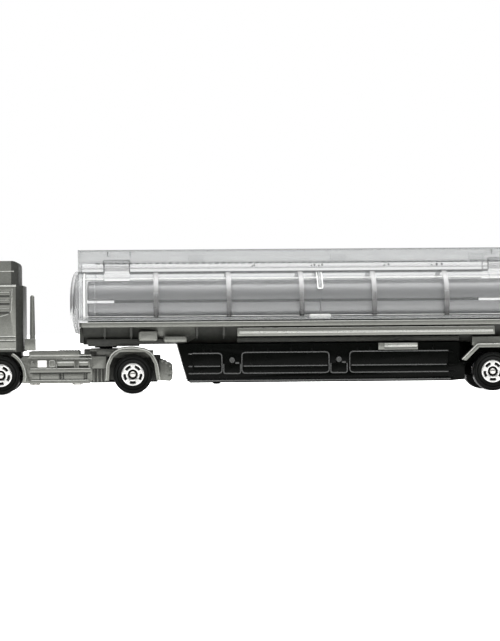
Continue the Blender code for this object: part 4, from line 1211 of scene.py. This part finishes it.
# The frame round the small box is a painted highlight.
box_frame = [(-46.2, 6.4), (-44.9, 6.4), (-44.9, 7.8), (-46.2, 7.8)]
parts.append(side_bead("small_box_frame", box_frame, UNIT_Y - 0.05, 0.16, highlight_silver_paint, 0.3, True))
filler = disc("filler", -50.2, UNIT_Y + 0.5, 7.3, 0.5, 1.0, 24, silver_paint)
stepped_cap(filler, -1, [(0.12, 0.12), (0.1, -0.12), (0.2, 0.0)])
parts.append(close_up(filler, 40))
# Each tank has a painted highlight along it and a line of painted shadow below it.
for x_low, x_high in ((-44.6, -40.3), (-39.6, -37.0)):
    shine = [(x_low + 0.2, 7.35), (x_high - 0.2, 7.35)]
    parts.append(side_bead("tank_shine", shine, UNIT_Y + 0.42, 0.5, highlight_silver_paint))
    parts.append(side_bead("tank_shade", [(x_low, 6.15), (x_high, 6.15)], UNIT_Y + 0.6, 0.2, shaded_paint))
    for x in (x_low + 0.05, x_high - 0.05):
        low, high = (x - 0.12, UNIT_Y - 0.12, 6.1), (x + 0.12, UNIT_Y + 0.8, 7.95)
        parts.append(box("tank_strap", low, high, silver_paint, 0.06))
# Lines of painted highlight and painted shade run along the rails, the foot and the deck's edge.
for name, x_low, x_high, z, y, thick, finish in (
    ("rail_top", -50.6, UNIT_REAR, 5.98, UNIT_Y + 0.05, 0.2, highlight_silver_paint),
    ("rail_gap", -50.6, UNIT_REAR, 4.95, UNIT_Y + 0.12, 0.26, shaded_paint),
    ("foot_top", -50.4, UNIT_REAR - 0.5, 3.28, UNIT_Y + 0.05, 0.22, highlight_silver_paint),
    ("deck_line", -50.6, UNIT_REAR + 0.1, 9.0, -10.5, 0.28, highlight_silver_paint),
    ("deck_shade", -50.6, UNIT_REAR + 0.1, 8.6, -10.4, 0.24, shaded_paint),
    ("upper_line", -43.2, UNIT_REAR + 0.3, 8.2, -10.4, 0.24, highlight_silver_paint),
):
    parts.append(side_bead(name, [(x_low, z), (x_high, z)], y, thick, finish))
# The webs are painted shade.
for x in (-48.4, -43.7, -43.0, -38.2, -37.6):
    parts.append(box("web", (x - 0.1, UNIT_Y + 0.1, 3.3), (x + 0.1, UNIT_Y + 0.9, 5.1), shaded_paint, 0.04))
for i in range(DECK_TREADS):
    x = -49.0 + DECK_TREAD_PITCH * i
    top = 10.08 if x > -44.8 else 9.98
    parts.append(box("deck_tread", (x - 0.18, -10.45, 9.75), (x + 0.18, -2.0, top), silver_paint, 0.06))
for x in (-36.0, -35.1, -34.2, -33.4):
    parts.append(box("link_rib", (x - 0.14, -10.05, 2.8), (x + 0.14, -9.6, 5.8), silver_paint, 0.08))
parts.append(panel("link_side", (-36.7, -10.1, 5.9), (-33.1, -9.6, 8.7), silver_paint, 0.1, 0.08))
parts.append(box("block_side", (-35.4, -7.6, 8.6), (-30.4, -7.0, 10.35), silver_paint, 0.06))
parts.append(box("block_top", (-36.9, -7.45, 9.8), (-30.4, -4.0, 10.45), silver_paint, 0.08))
# A dark sheet of painted shade in the wheel well.
parts.append(box("well_painted_shade", (-23.6, -7.6, 3.0), (-20.9, -7.1, 7.7), shaded_paint, 0.06))
pair("frame_side_details", parts, "tractor", "silver_casting")

# %% Fenders and tail
ARCH_RADIUS = 5.75
drive_arch = [(-33.2, 3.1), (-33.0, 6.8), (-31.8, 9.3), (-30.0, 10.45), (-27.0, 10.65), (-23.9, 10.15),
              (-22.4, 9.15), (-21.3, 7.0), (-20.7, 3.1)]
# The edges of the arches are painted highlights.
parts = [side_bead("fender_edge", drive_arch, -11.85, 0.3, highlight_silver_paint, 0.8)]
front_arch = arc_points(FRONT_AXLE_X, WHEEL_RADIUS, ARCH_RADIUS, range(-15, 62, 5))
parts.append(side_bead("front_arch_edge", front_arch, -11.55, 0.28, highlight_silver_paint))
for x, z in ((-20.2, 7.5), (-19.3, 7.1), (-18.4, 6.4), (-18.1, 5.2), (-18.3, 4.0)):
    low, high = (x - 0.35, -8.3, z - 0.3), (x + 0.35, -7.5, z + 0.3)
    parts.append(panel("tail_lug", low, high, silver_paint, 0.15, 0.1))
pair("fender_and_tail_details", parts, "tractor", "silver_casting")

trailer_arch = [(49.3, 7.3), (52.9, 10.85), (60.0, 10.85), (63.6, 7.3)]
# The trailer's arch edge is a painted highlight.
fender_edge = side_bead("fender_edge", trailer_arch, -11.95, 0.34, highlight_silver_paint, 0.4)
pair("trailer_fender_edge", [fender_edge], "trailer", "silver_casting")

# %% Rear end: lamps, a blank plate and the bumper's edge
rear = [box("lamp_board", (69.9, -10.8, 5.2), (70.35, -5.0, 8.4), black_abs, 0.1)]
for y, finish in ((-9.6, red_lens), (-7.9, red_lens), (-6.2, lamp_lens)):
    lamp = disc("rear_lamp", 0, 0, 0, 0.62, 0.5, 28, finish)
    stepped_cap(lamp, -1, [(0.1, 0.1), (0.2, 0.05)])
    rear.append(faced_along_x(close_up(lamp, 40), 70.4, y, 6.8))
pair("rear_lamps", rear, "trailer", "black_plastic")
# The blank plate and the bumper's edge are painted highlights.
rear = [box("blank_plate", (69.9, -2.8, 5.4), (70.4, 2.8, 7.4), highlight_silver_paint)]
rear.append(box("bumper_edge", (67.9, -11.5, 9.2), (70.3, 11.5, 9.5), highlight_black_abs, 0.1))
place_on(joined("rear_plate", rear), "trailer", "silver_casting")

# %% [markdown]
# ## Floor
# A plain pale sheet, far larger than the toy. It glows as brightly as the backdrop, so it takes hardly any shadow.

# %% Floor
FLOOR_SIZE, FLOOR_Z = 6.0, -0.00002  # in metres; the sheet lies just under the wheels
bpy.ops.object.select_all(action="DESELECT")
bpy.ops.mesh.primitive_plane_add(size=FLOOR_SIZE, location=(0, 0, FLOOR_Z))
floor = bpy.context.object
floor.name = "floor"
floor_paper, tree, shader, place = finish_for("pale_paper", "#f4f4f3", 0.0, 0.8, Emission_Strength=1.0)
shader.inputs["Emission Color"].default_value = linear("#ffffff")
floor.data.materials.append(floor_paper)
